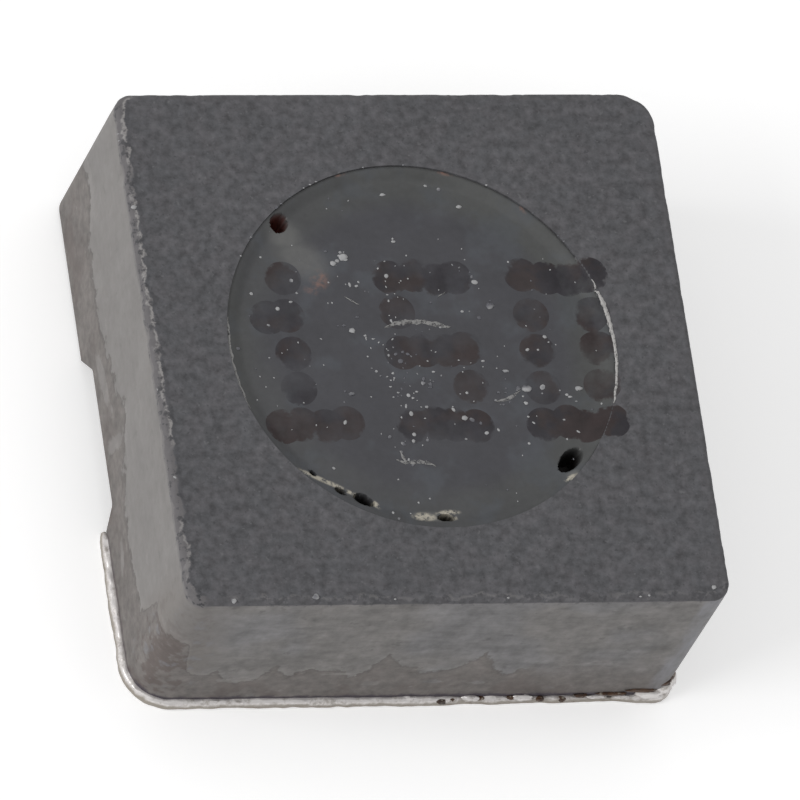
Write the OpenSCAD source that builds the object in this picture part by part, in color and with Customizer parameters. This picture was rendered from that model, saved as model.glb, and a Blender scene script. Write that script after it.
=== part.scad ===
// Shielded surface-mount inductor: a drum core wound with one enamelled wire,
// seated in a square ferrite ring and sealed on top with resin. The ring stands
// on two plated feet, and the wire's ends are soldered into grooves under them.
// Millimetres, +Z up, origin at the middle of the footprint on the pad plane,
// front terminal at -Y.

/* [Shield ring] */
// Width of the ring, side to side
ring_w = 4.92; // [4.6:0.02:5.6]
// Depth of the ring, front to back
ring_d = 4.92; // [4.6:0.02:5.6]
// Height of the whole inductor above its pad plane
total_h = 2; // [1.8:0.05:3]
// Radius of the back right corner
wide_corner_r = 0.31; // [0.2:0.01:0.5]
// Radius of the front right and back left corners
tight_corner_r = 0.18; // [0.1:0.01:0.5]
// Radius of the front left corner at the underside of its foot
lean_foot_r = 0.36; // [0.3:0.01:0.5]
// Radius of the front left corner at the top, where it has been ground sharper
lean_top_r = 0.17; // [0.1:0.01:0.25]
// Bevel along the ring's top edge
edge_bevel = 0.05; // [0.01:0.01:0.1]
// Bore that takes the drum
bore_d = 3.5; // [3.4:0.02:3.7]

/* [Feet] */
// Length of each foot along the ring's side
foot_l = 1.65; // [1.55:0.05:1.9]
// Height of the channel between the feet
channel_h = 0.31; // [0.2:0.01:0.4]
// Run of the channel's steep end, at the front foot
front_slope = 0.12; // [0.02:0.02:0.3]
// Run of the channel's gentle end, at the back foot
back_slope = 0.22; // [0.02:0.02:0.4]

/* [Drum core] */
// Gap all round between the drum's flanges and the bore
drum_gap = 0.3; // [0.15:0.01:0.34]
// Diameter of the post between the flanges
post_d = 1.5; // [1.2:0.05:1.6]
// Thickness of the top flange
top_flange_t = 0.32; // [0.2:0.01:0.35]
// Thickness of the bottom flange
bottom_flange_t = 0.3; // [0.2:0.01:0.32]
// Depth of the top flange's face below the ring's top
top_setback = 0.1; // [0.06:0.01:0.12]
// Height of the bottom flange's face above the pad plane
bottom_setback = 0.12; // [0.08:0.01:0.16]
// Bevel on the rims of both flanges
flange_bevel = 0.04; // [0.01:0.01:0.08]

/* [Winding] */
// Outer diameter of the enamelled wire
wire_d = 0.14; // [0.1:0.01:0.14]
// Space between neighbouring turns and layers
turn_gap = 0.02; // [0.015:0.005:0.022]
// Space between the winding and the core
core_clearance = 0.01; // [0.005:0.005:0.02]
// Turns in one layer
layer_turns = 6; // [3:1:6]
// Layers, an even number so that both ends leave at the bottom
layers = 4; // [2:2:4]
// Part of a turn in which the wire climbs to the next layer
climb = 0.2; // [0.1:0.05:0.3]
// Run in which a lead drops through the bottom flange
lead_run = 0.75; // [0.6:0.05:0.8]
// Radius of the start lead's bend under the flange
lead_bend_r = 0.3; // [0.2:0.02:0.36]
// Height of a lead's axis above the pad plane
lead_z = 0.15; // [0.12:0.01:0.18]
// Room on each side of a lead in its notch
notch_clearance = 0.1; // [0.06:0.01:0.12]

/* [Terminals and solder] */
// Thickness of the plating under a foot
pad_t = 0.04; // [0.02:0.01:0.06]
// Thickness of the plating where it wraps up a face
wrap_t = 0.04; // [0.02:0.01:0.06]
// Height that the plating wraps up above the pad plane
wrap_h = 0.08; // [0.06:0.01:0.2]
// Length of each pad beside the bore, in from the ring's face
pad_l = 1.5; // [1.2:0.05:1.6]
// Distance that the back pad stays in from the ring's sides
back_pad_inset = 0.35; // [0.3:0.05:0.6]
// Width of the lead groove under a foot
groove_w = 0.4; // [0.3:0.02:0.5]
// Height of the lead groove above the foot's underside
groove_h = 0.24; // [0.22:0.01:0.3]
// Wall left between the groove and the ring's face
groove_wall = 0.3; // [0.2:0.05:0.5]
// Length of groove that is filled with solder
solder_l = 0.75; // [0.5:0.05:0.9]
// Run of the solder's sloping inner end
solder_slope = 0.18; // [0.1:0.02:0.3]
// Distance that the solder and the lead's tip keep from the pad plane and wall
solder_inset = 0.01; // [0.005:0.005:0.02]
// Solder beyond the tip of the lead
tip_cover = 0.08; // [0.04:0.01:0.15]

/* [Resin] */
// Depth of the resin's flat middle below the ring's top
resin_setback = 0.05; // [0.03:0.01:0.06]
// Depth of its lowest line, above the gap round the drum
resin_sag = 0.08; // [0.06:0.01:0.09]
// Depth of its rim, where it wets the bore
resin_rim = 0.03; // [0.01:0.01:0.05]
// Width of the sagging border beyond the flat middle
resin_border = 0.4; // [0.3:0.02:0.6]
// Depth of the resin in the gap, below the ring's top
resin_depth = 0.42; // [0.3:0.01:0.5]

/* [Hidden] */
$fn = 64;

// Shared levels and radii
reach = 1;                                  // how far a cutter runs past what it cuts
foot_z = pad_t;                             // underside of the ferrite feet
channel_z = foot_z + channel_h;
bore_r = bore_d / 2;
flange_r = bore_r - drum_gap;
post_r = post_d / 2;
lean = (lean_foot_r - lean_top_r) / (total_h - foot_z);    // radius gained for each mm down
lean_point_z = total_h + lean_top_r / lean;                // where the radius would be nil
lean_half_angle = asin(lean / sqrt(1 + 2 * pow(lean, 2)));
drum_low = bottom_setback;
drum_top = total_h - top_setback;
window_low = drum_low + bottom_flange_t;    // winding window, between the flanges
window_top = drum_top - top_flange_t;

// Winding: pitch, first layer and height of the lowest turn
wire_r = wire_d / 2;
pitch = wire_d + turn_gap;
layer_1_r = post_r + core_clearance + wire_r;
layer_n_r = layer_1_r + (layers - 1) * pitch;
coil_low = window_low + core_clearance + wire_r;
coil_turns = layers * layer_turns + 1 / 4;  // start at the back, finish on the right
turns_each = (coil_turns - (layers - 1) * climb) / layers;
ring_steps = 24;                            // wire sections in one turn
wire_sides = 8;
lead_x = layer_n_r;                         // the finish lead leaves as a tangent
groove_end = ring_d / 2 - groove_wall;      // closed end of a lead groove
lead_tip = groove_end - tip_cover;

// Pits in the resin over the gap: [angle, distance in from the bore, length, width]
pits = [[132.5, 0.08, 0.2, 0.16], [-42, 0.12, 0.3, 0.19], [-124, 0.11, 0.14, 0.09],
        [-116.5, 0.11, 0.2, 0.15], [-90, 0.12, 0.2, 0.1]];

// Smooth step from 0 to 1
function ease(s) = (1 - cos(180 * s)) / 2;
function unit(v) = v / norm(v);

// A centre-line point of the coil, u turns after its start
function coil_point(u) =
    let (layer = min(floor(u / (turns_each + climb)), layers - 1),
         into = u - layer * (turns_each + climb),
         along = min(into, turns_each),
         rise = layer % 2 == 0 ? along : turns_each - along,
         shift = ease(max(0, into - turns_each) / climb),
         r = layer_1_r + (layer + shift) * pitch,
         angle = 90 - 360 * u)
    [r * cos(angle), r * sin(angle), coil_low + rise * pitch];

coil = [for (i = [0 : round(coil_turns * ring_steps)]) coil_point(i / ring_steps)];

// The start lead: along the back groove, round a bend and up through its slot
start_lead = concat(
    [[-lead_x, lead_tip, lead_z]],
    [for (a = [0 : 15 : 90])
        [-lead_x + lead_bend_r * (1 - cos(a)), layer_1_r + lead_bend_r * (1 - sin(a)), lead_z]],
    [for (s = [0 : 0.1 : 0.95])
        [-lead_run * (1 - s), layer_1_r, lead_z + (coil_low - lead_z) * ease(s)]]);

// The finish lead: off the outer layer, down through its notch, along the front groove
finish_lead = concat(
    [for (s = [0.1 : 0.1 : 1.05])
        [lead_x, -lead_run * s, coil_low + (lead_z - coil_low) * ease(min(s, 1))]],
    [[lead_x, -lead_tip, lead_z]]);

wire_path = concat(start_lead, coil, finish_lead);

// A tube of round section swept along a list of points
module sweep(path, r, sides) {
    last = len(path) - 1;
    points = [for (i = [0 : last])
        let (ahead = unit(path[min(i + 1, last)] - path[max(i - 1, 0)]),
             across = unit(cross(ahead, [0, 0, 1])),
             up = cross(across, ahead))
        for (j = [0 : sides - 1])
            path[i] + r * (cos(360 * j / sides) * across + sin(360 * j / sides) * up)];
    walls = [for (i = [0 : last - 1], j = [0 : sides - 1])
        let (k = (j + 1) % sides)
        [i * sides + j, i * sides + k, (i + 1) * sides + k, (i + 1) * sides + j]];
    caps = [[for (j = [sides - 1 : -1 : 0]) j], [for (j = [0 : sides - 1]) last * sides + j]];
    polyhedron(points, concat(walls, caps), convexity = 12);
}

// An upright block with a bevel along its top edge and its upright corners rounded,
// each corner by the ring's own radius plus growth
module round_block(w, d, low, high, growth = 0, bevel = 0) {
    difference() {
        translate([0, 0, low])
            intersection() {
                rotate([90, 0, 90])
                    linear_extrude(w, center = true)
                        full_section(d, high - low, bevel);
                rotate([90, 0, 0])
                    linear_extrude(d, center = true)
                        full_section(w, high - low, bevel);
            }
        corner_cut(w, d, low, high, wide_corner_r + growth, bevel);
        for (turn = [0, 180])
            rotate(turn)
                mirror([1, 0, 0])
                    corner_cut(w, d, low, high, tight_corner_r + growth, bevel);
        if (growth > 0)
            rotate(180)
                corner_cut(w, d, low, high, lean_foot_r + growth, bevel);
        else
            leaning_cut(w, d);
    }
}

// What the front left corner leaves of a square one: a cone that touches both faces
// and has its point on their common edge, above the top
module leaning_cut(w, d) {
    translate([-w / 2, -d / 2, lean_point_z])
        rotate([0, 0, 45])
            difference() {
                rotate([0, -atan(lean / sqrt(2)), 0])
                    translate([-reach, -reach, -2 * lean_point_z])
                        cube([reach, 2 * reach, 3 * lean_point_z]);
                rotate([0, 180 - atan(lean * sqrt(2)), 0])
                    cylinder(r1 = 0, r2 = 2 * lean_point_z * tan(lean_half_angle),
                             h = 2 * lean_point_z);
            }
}

// What a round corner at +X +Y leaves of a square one
module corner_cut(w, d, low, high, r, bevel) {
    translate([w / 2 - r, d / 2 - r, low])
        difference() {
            translate([0, 0, -reach])
                cube([r + reach, r + reach, high - low + 2 * reach]);
            rotate_extrude()
                polygon([[0, -2 * reach], [r, -2 * reach], [r, high - low - bevel],
                         [r - bevel, high - low], [r - bevel, high - low + 2 * reach],
                         [0, high - low + 2 * reach]]);
        }
}

module full_section(w, h, bevel) {
    polygon([[-w / 2, 0], [w / 2, 0], [w / 2, h - bevel], [w / 2 - bevel, h],
             [bevel - w / 2, h], [-w / 2, h - bevel]]);
}

// The channel between the feet, open at both sides of the ring
module foot_channel() {
    front = foot_l - ring_d / 2;
    back = ring_d / 2 - foot_l;
    rotate([90, 0, 90])
        linear_extrude(ring_w + 2 * reach, center = true)
            polygon([[front, -reach], [front, foot_z], [front + front_slope, channel_z],
                     [back - back_slope, channel_z], [back, foot_z], [back, -reach]]);
}

// The groove for a lead, from the bore out to its closed end under the front foot
module lead_groove(height) {
    translate([lead_x - groove_w / 2, -groove_end, -reach])
        cube([groove_w, groove_end, reach + height]);
}

module shield_ring() {
    color("#58585c")
        difference() {
            round_block(ring_w, ring_d, foot_z, total_h, bevel = edge_bevel);
            translate([0, 0, -reach])
                cylinder(r = bore_r, h = total_h + 2 * reach);
            foot_channel();
            for (turn = [0, 180])
                rotate(turn)
                    lead_groove(foot_z + groove_h);
        }
}

module drum_core() {
    color("#4e5054")
        difference() {
            union() {
                translate([0, 0, drum_low])
                    flange(bottom_flange_t);
                translate([0, 0, drum_low])
                    cylinder(r = post_r, h = drum_top - drum_low);
                translate([0, 0, window_top])
                    flange(top_flange_t);
            }
            start_slot();
            finish_notch();
        }
}

// A flange with both rims bevelled
module flange(t) {
    rotate_extrude()
        polygon([[0, 0], [flange_r - flange_bevel, 0], [flange_r, flange_bevel],
                 [flange_r, t - flange_bevel], [flange_r - flange_bevel, t], [0, t]]);
}

// Slot in the bottom flange, beside the post, where the start lead comes up
module start_slot() {
    far_side = layer_1_r + wire_r + notch_clearance;
    translate([-flange_r - reach, post_r, drum_low - reach])
        cube([flange_r + reach + core_clearance, far_side - post_r,
              window_low - drum_low + reach]);
}

// Notch in the bottom flange's rim, where the finish lead goes down
module finish_notch() {
    translate([lead_x - wire_r - notch_clearance, -flange_r - reach, drum_low - reach])
        cube([flange_r, flange_r + reach + core_clearance, window_low - drum_low + reach]);
}

module winding() {
    color("#a4532a")
        sweep(wire_path, wire_r, wire_sides);
}

// Plating under a foot at -Y, as a shallow tray that wraps up the ring's faces
module terminal(side_wrap) {
    half = side_wrap ? ring_w / 2 + wrap_t : ring_w / 2 - back_pad_inset;
    difference() {
        round_block(ring_w + 2 * wrap_t, ring_d + 2 * wrap_t, 0, wrap_h, growth = wrap_t);
        round_block(ring_w, ring_d, foot_z, wrap_h + reach);
        translate([-ring_w, pad_l - ring_d / 2, -reach])
            cube([2 * ring_w, 2 * ring_d, wrap_h + 2 * reach]);
        for (x = [-1, 1])
            translate([x * (half + ring_w / 2), 0, 0])
                cube([ring_w, 2 * ring_d, 2 * wrap_h + reach], center = true);
        translate([0, 0, -reach])
            cylinder(r = bore_r, h = total_h);
        lead_groove(foot_z);
    }
}

// Solder that fills a lead groove round the tip of the lead
module solder_fill() {
    end = -groove_end;
    difference() {
        translate([lead_x, 0, 0])
            rotate([90, 0, 90])
                linear_extrude(groove_w, center = true)
                    polygon([[end, solder_inset], [end + solder_l, solder_inset],
                             [end + solder_l - solder_slope, foot_z + groove_h],
                             [end, foot_z + groove_h]]);
        translate([lead_x, -lead_tip, lead_z])
            rotate([-90, 0, 0])
                cylinder(r = wire_r, h = solder_l + reach);
    }
}

module front_terminal() {
    color("#c9c6bf")
        terminal(true);
}

module back_terminal() {
    color("#c9c6bf")
        rotate(180)
            terminal(false);
}

module front_solder() {
    color("#b8b4aa")
        solder_fill();
}

module back_solder() {
    color("#b8b4aa")
        rotate(180)
            solder_fill();
}

// Height of the resin's surface at a distance from the axis
function resin_z(r) =
    let (edge = bore_r - resin_border,
         low = bore_r - drum_gap / 2,
         out = ease(min(max(r - edge, 0) / (low - edge), 1)),
         up = ease(max(r - low, 0) / (bore_r - low)))
    total_h - resin_setback - (resin_sag - resin_setback) * out + (resin_sag - resin_rim) * up;

module top_resin() {
    surface = [for (i = [0 : 20])
        let (r = bore_r - resin_border * (1 - i / 20))
        [r, resin_z(r)]];
    color("#46484c")
        difference() {
            rotate_extrude()
                polygon(concat([[0, resin_z(0)]], surface,
                    [[bore_r, total_h - resin_depth], [flange_r, total_h - resin_depth],
                     [flange_r, drum_top - flange_bevel], [flange_r - flange_bevel, drum_top],
                     [0, drum_top]]));
            for (pit = pits)
                resin_pit(pit[0], bore_r - pit[1], pit[2], pit[3]);
        }
}

// A bubble that broke the surface: round beads in a row along the gap
module resin_pit(angle, r, length, width) {
    spread = (length - width) / 2 / r * 180 / PI;
    for (turn = [-spread, 0, spread])
        rotate(angle + turn)
            translate([r, 0, total_h - resin_sag])
                sphere(d = width);
}

shield_ring();
drum_core();
winding();
front_terminal();
back_terminal();
front_solder();
back_solder();
top_resin();
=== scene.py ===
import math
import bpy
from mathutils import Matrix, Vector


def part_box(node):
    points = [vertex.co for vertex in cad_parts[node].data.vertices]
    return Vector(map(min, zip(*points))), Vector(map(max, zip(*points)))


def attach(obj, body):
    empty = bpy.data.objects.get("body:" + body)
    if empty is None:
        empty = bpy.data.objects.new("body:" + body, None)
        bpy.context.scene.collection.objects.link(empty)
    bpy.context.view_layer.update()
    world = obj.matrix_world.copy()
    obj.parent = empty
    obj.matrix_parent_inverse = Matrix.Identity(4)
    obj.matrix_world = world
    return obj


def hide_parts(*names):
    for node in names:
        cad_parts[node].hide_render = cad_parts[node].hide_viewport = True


bl_info = {
    "name": "Shielded inductor",
    "version": (1, 0, 0),
    "blender": (4, 5, 0),
    "location": "View3D > Sidebar > Inductor",
    "description": "Dresses a packed surface-mount inductor in ferrite, resin, plating, ink and dust",
    "category": "Object",
}

import bmesh
import bpy
import numpy as np
from bpy.props import FloatProperty, FloatVectorProperty, IntProperty, PointerProperty, StringProperty
from mathutils import Matrix, Vector, noise

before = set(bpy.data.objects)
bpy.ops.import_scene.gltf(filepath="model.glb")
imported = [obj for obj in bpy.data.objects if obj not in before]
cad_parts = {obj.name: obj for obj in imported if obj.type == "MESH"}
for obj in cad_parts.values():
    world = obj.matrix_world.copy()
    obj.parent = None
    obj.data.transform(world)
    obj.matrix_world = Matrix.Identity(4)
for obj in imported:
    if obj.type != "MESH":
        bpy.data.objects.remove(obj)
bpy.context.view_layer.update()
MM = 0.001
RING_LOW, RING_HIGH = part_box("shield_ring")
RESIN_LOW, RESIN_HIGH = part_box("top_resin")

HALF = RING_HIGH.x / MM        # half the ring's width, in mm as all maths below
TOP = RING_HIGH.z / MM
FOOT_Z = RING_LOW.z / MM
BORE_R = RESIN_HIGH.x / MM
SKIRT_Z = RESIN_LOW.z / MM
DRUM_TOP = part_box("drum_core")[1].z / MM
FLANGE_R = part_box("drum_core")[1].x / MM


def linear(*screen):
    """A screen colour, 0 to 255 a channel, as the linear values that Blender works in."""
    return tuple(((c / 255 + 0.055) / 1.055) ** 2.4 if c > 10 else c / 255 / 12.92 for c in screen)


def length(name, description, default_mm):
    return FloatProperty(name=name, description=description, default=default_mm * MM,
                         min=0, unit="LENGTH", precision=6)


def colour(name, description, *screen):
    return FloatVectorProperty(name=name, description=description, default=linear(*screen),
                               min=0, max=1, size=3, subtype="COLOR")


def amount(name, description, default, top=10):
    return FloatProperty(name=name, description=description, default=default, min=0, max=top)


class RingSettings(bpy.types.PropertyGroup):
    """Sizes and colours of the ferrite ring."""
    wide_corner: length("Wide corner", "Radius of the back right corner", 0.31)
    lean_foot: length("Front left at the foot", "Radius of the front left corner at the foot", 0.36)
    lean_top: length("Front left at the top", "Radius of the front left corner at the top", 0.17)
    tight_corner: length("Tight corner", "Radius of the other two corners", 0.18)
    bevel: length("Bevel", "Width of the bevel along the top edge", 0.05)
    chip: length("Chip depth", "Deepest chip in the left top edge", 0.035)
    foot: length("Foot length", "Length of each foot along the side", 1.65)
    channel: length("Channel height", "Height of the channel between the feet", 0.31)
    steep: length("Steep run", "Run of the channel's end at the front foot", 0.12)
    gentle: length("Gentle run", "Run of the channel's end at the back foot", 0.22)
    groove_x: length("Groove place", "Distance of the lead grooves from the middle", 1.31)
    groove_w: length("Groove width", "Width of a lead groove", 0.4)
    groove_h: length("Groove height", "Height of a lead groove above the foot's underside", 0.24)
    groove_wall: length("Groove wall", "Wall between a groove and the ring's face", 0.3)
    face: colour("Top face", "Sintered ferrite of the top face", 88, 87, 90)
    cool_face: colour("Cool face", "Cooler patches of the top face", 84, 84, 87)
    light_grain: colour("Light grain", "Lighter grains in the top face", 112, 112, 114)
    dark_grain: colour("Dark grain", "Darker grains and pores in the top face", 62, 62, 65)
    side: colour("Bare side", "Ferrite of the sides below the film", 112, 107, 104)
    tan_film: colour("Tan film", "Browner film round the front left corner", 116, 111, 107)
    cool_film: colour("Cool film", "Bluish patches of the film", 122, 123, 128)
    film: colour("Film", "Pale film that has run down the sides", 127, 124, 122)
    stain: colour("Stain", "Brown stain on the front left corner", 88, 76, 72)
    # painted highlight: lighter strip where the rounded front right corner catches the light
    corner_highlight: colour("Upright edge", "Lighter strip along the front right edge", 140, 140, 145)
    # painted shade in the seam above the plating
    seam_shade: colour("Crevice", "Shade in the seam above the plating", 62, 55, 66)
    worn: colour("Worn edge", "Rubbed ferrite along the edges", 108, 105, 106)
    # lighter chips: partly chipped ferrite, partly a painted highlight along the top edge
    chipped: colour("Chips", "Freshly chipped ferrite", 166, 163, 161)


class ResinSettings(bpy.types.PropertyGroup):
    """Sizes and colours of the resin over the drum."""
    setback: length("Setback", "Depth of the flat middle below the ring", 0.05)
    sag: length("Sag", "Depth of the lowest line over the gap", 0.066)
    rim: length("Rim", "Depth of the rim where it wets the bore", 0.02)
    border: length("Border", "Width of the sagging border", 0.4)
    body: colour("Over the drum", "Resin over the dark drum", 64, 64, 69)
    edge: colour("Over the gap", "Thick resin over the gap round the drum", 78, 79, 78)
    haze: colour("Haze", "Bluish patches of haze", 78, 82, 88)
    rust: colour("Rust", "Orange specks of rust", 138, 104, 92)
    # painted sheen: pale patches where the resin slopes down to the bubbles and reflects light
    halo: colour("Halo", "Pale resin beside a burst bubble", 112, 112, 110)
    fringe: colour("Fringe", "Cream lip of a burst bubble", 178, 172, 158)
    # painted shade: near-black inside the burst bubbles and along the back rim
    burst: colour("Burst bubble", "Inside of a burst bubble", 24, 20, 20)
    rusty_burst: colour("Rusty bubble", "Inside of the bubble at the back", 98, 50, 42)


class MetalSettings(bpy.types.PropertyGroup):
    """Sizes and colours of the plating, the solder and the wire."""
    bead_h: length("Bead height", "Height of the tinned bead round the front foot", 0.09)
    bead_t: length("Bead thickness", "How far the bead stands out", 0.056)
    plate_t: length("Plate thickness", "Thickness of the plating under a foot", 0.04)
    pad: length("Pad length", "Length of a pad, in from the ring's face", 1.5)
    back_inset: length("Back inset", "Distance of the back pad from the ring's sides", 0.35)
    side_run: length("Side run", "Length of the bead along the ring's sides", 1.65)
    tin: colour("Tin", "Tinned silver", 230, 226, 224)
    dull_tin: colour("Dull tin", "Oxidised tin", 146, 138, 127)
    residue: colour("Flux residue", "Brown flux left beside the bead", 84, 58, 38)
    wire: colour("Enamelled wire", "Copper seen through clear enamel", 164, 84, 42)
    wire_dark: colour("Wire shade", "Darker patches of the enamel", 104, 46, 24)
    drum: colour("Drum", "Ground ferrite of the drum core", 100, 100, 103)


class InkSettings(bpy.types.PropertyGroup):
    """The generic value printed in dots on the resin."""
    value: StringProperty(name="Value", description="Digits 0, 1 or 5, printed in dots", default="150")
    dot: length("Dot", "Diameter of a dot of ink", 0.33)
    column: length("Column pitch", "Distance from dot to dot along a row", 0.19)
    row: length("Row pitch", "Distance from row to row", 0.355)
    advance: length("Advance", "Distance from digit to digit", 1.2)
    jitter: length("Jitter", "Most that a dot is off its place", 0.025)
    seed: IntProperty(name="Seed", description="Seed of the dots' places and sizes", default=4)
    tint: colour("Ink", "Purple-brown marking ink", 37, 34, 40)
    warm_tint: colour("Warm ink", "Browner patches of the ink", 47, 37, 37)


class DustSettings(bpy.types.PropertyGroup):
    """Dust and scratches on the resin and the ring, and the painted highlight along the right rim."""
    fleck: length("Fleck", "Radius of the largest scattered fleck", 0.026)
    density: amount("Density", "Scattered flecks on a square millimetre of resin", 115, 200)
    edge_density: amount("Edge density", "Flecks on a millimetre of the left edge", 9, 200)
    seed: IntProperty(name="Seed", description="Seed of the flecks", default=11)
    tint: colour("Dust", "Pale dust", 186, 186, 187)
    grey_tint: colour("Grey dust", "Dust sunk in the resin", 112, 112, 118)
    scratch: colour("Scratch", "Whitened resin along a scratch", 146, 145, 144)
    # painted highlight: the bright line along the bore's right edge
    rim_highlight: colour("Crack", "Bright crack along the right rim", 190, 188, 186)


class StageSettings(bpy.types.PropertyGroup):
    """Floor, lights and camera."""
    floor: colour("Floor", "Pale floor", 246, 246, 246)
    sky: amount("Sky", "Level of the even light from all round", 0.52)
    key: amount("Key", "Level of the soft light from the left", 0.44)
    fill: amount("Fill", "Level of the soft light from above", 0.1)
    lens: FloatProperty(name="Lens", description="Focal length", default=806.9, subtype="DISTANCE_CAMERA")


class InductorSettings(bpy.types.PropertyGroup):
    """All settings of the inductor."""
    ring: PointerProperty(type=RingSettings)
    resin: PointerProperty(type=ResinSettings)
    metal: PointerProperty(type=MetalSettings)
    ink: PointerProperty(type=InkSettings)
    dust: PointerProperty(type=DustSettings)
    stage: PointerProperty(type=StageSettings)


# ---------------------------------------------------------------- node trees

class Value:
    """A socket of a node tree. Arithmetic on it adds Math nodes."""

    def __init__(self, finish, socket):
        self.finish, self.socket = finish, socket

    def math(self, operation, *values):
        return self.finish.node("ShaderNodeMath", {"operation": operation}, dict(enumerate(values)))

    def __add__(self, other):
        return self.math("ADD", self, other)

    def __sub__(self, other):
        return self.math("SUBTRACT", self, other)

    def __rsub__(self, other):
        return self.math("SUBTRACT", other, self)

    def __mul__(self, other):
        return self.math("MULTIPLY", self, other)

    def __truediv__(self, other):
        return self.math("DIVIDE", self, other)

    def __pow__(self, other):
        return self.math("POWER", self, other)

    def most(self, other):
        return self.math("MAXIMUM", self, other)

    def least(self, other):
        return self.math("MINIMUM", self, other)

    __radd__ = __add__
    __rmul__ = __mul__


class Tree:
    """A node tree that is filled by one method."""

    def __init__(self, tree):
        self.tree = tree

    def node(self, kind, settings=None, inputs=None, output=0):
        """Adds a node: its settings first, then its sockets' values or links."""
        node = self.tree.nodes.new(kind)
        for key, setting in (settings or {}).items():
            if key == "stops":
                ramp = node.color_ramp.elements
                while len(ramp) < len(setting):
                    ramp.new(1)
                for element, (place, tint) in zip(ramp, setting):
                    element.position = place
                    element.color = (*tint, 1)
            else:
                setattr(node, key, setting)
        for key, value in (inputs or {}).items():
            socket = node.inputs[key]
            if isinstance(value, Value):
                self.tree.links.new(value.socket, socket)
            elif socket.type == "RGBA":
                socket.default_value = (*tuple(value)[:3], 1)
            else:
                socket.default_value = value
        return Value(self, node.outputs[output]) if len(node.outputs) else node


class Finish(Tree):
    """A procedural material. Positions are in millimetres."""

    def __init__(self, name):
        self.material = bpy.data.materials.new(name)
        self.material.use_nodes = True
        super().__init__(self.material.node_tree)
        self.tree.nodes.clear()
        coordinates = self.node("ShaderNodeTexCoord", output="Object")
        self.place = self.node("ShaderNodeVectorMath", {"operation": "SCALE"},
                               {0: coordinates, "Scale": 1 / MM})
        self.x, self.y, self.z = (
            self.node("ShaderNodeSeparateXYZ", None, {0: self.place}, axis) for axis in "XYZ")
        self.reach = (self.x * self.x + self.y * self.y) ** 0.5

    def attribute(self, name):
        return self.node("ShaderNodeAttribute", {"attribute_name": name}, None, "Fac")

    def noise(self, scale, detail=2, roughness=0.5, stretch=None):
        """Fractal noise with about scale features a millimetre."""
        place = self.place
        if stretch:
            place = self.node("ShaderNodeMapping", None, {"Vector": place, "Scale": stretch})
        return self.node("ShaderNodeTexNoise", None,
                         {"Vector": place, "Scale": scale, "Detail": detail, "Roughness": roughness})

    def vary(self, scale, detail=3, roughness=0.6, stretch=None):
        """Fractal noise round nought, of about a third each way."""
        return (self.noise(scale, detail, roughness, stretch) - 0.5) * 2.2

    def step(self, value, low, high):
        """0 below low and 1 above high, or the other way round where low is the larger."""
        return self.node("ShaderNodeMapRange", {"interpolation_type": "SMOOTHSTEP"},
                         {"Value": value, "From Min": low, "From Max": high})

    def mix(self, factor, a, b):
        return self.node("ShaderNodeMix", {"data_type": "RGBA"}, {0: factor, 6: a, 7: b}, 2)

    def shade(self, tint, level):
        """A colour made lighter or darker by a value round 1."""
        return self.node("ShaderNodeVectorMath", {"operation": "SCALE"}, {0: tint, "Scale": level})

    def bump(self, height, strength, distance_mm, normal=None):
        inputs = {"Height": height, "Strength": strength, "Distance": distance_mm * MM}
        if normal:
            inputs["Normal"] = normal
        return self.node("ShaderNodeBump", None, inputs)

    def surface(self, **inputs):
        """Ends the material in a Principled BSDF with these inputs."""
        names = {key: key.replace("_", " ") for key in inputs}
        shader = self.node("ShaderNodeBsdfPrincipled", None, {names[k]: v for k, v in inputs.items()})
        self.node("ShaderNodeOutputMaterial", None, {"Surface": shader})
        return self.material


def top_tint(f, s, grain, cloud):
    """Sintered ferrite of the top face, with its grain."""
    top = f.mix(f.step(f.noise(4.5, 3, 0.6), 0.4, 0.6), s.face, s.cool_face)
    top = f.shade(top, 0.99 + (grain - 0.5) * 1.8 + f.vary(6) * 0.16 + (cloud - 0.5) * 0.3)
    top = f.mix(f.step(f.noise(20, 3, 0.6), 0.4, 0.3) * 0.6, top, s.dark_grain)
    top = f.mix(f.step(f.noise(17, 3, 0.6), 0.62, 0.72) * 0.5, top, s.light_grain)
    return top


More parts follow.
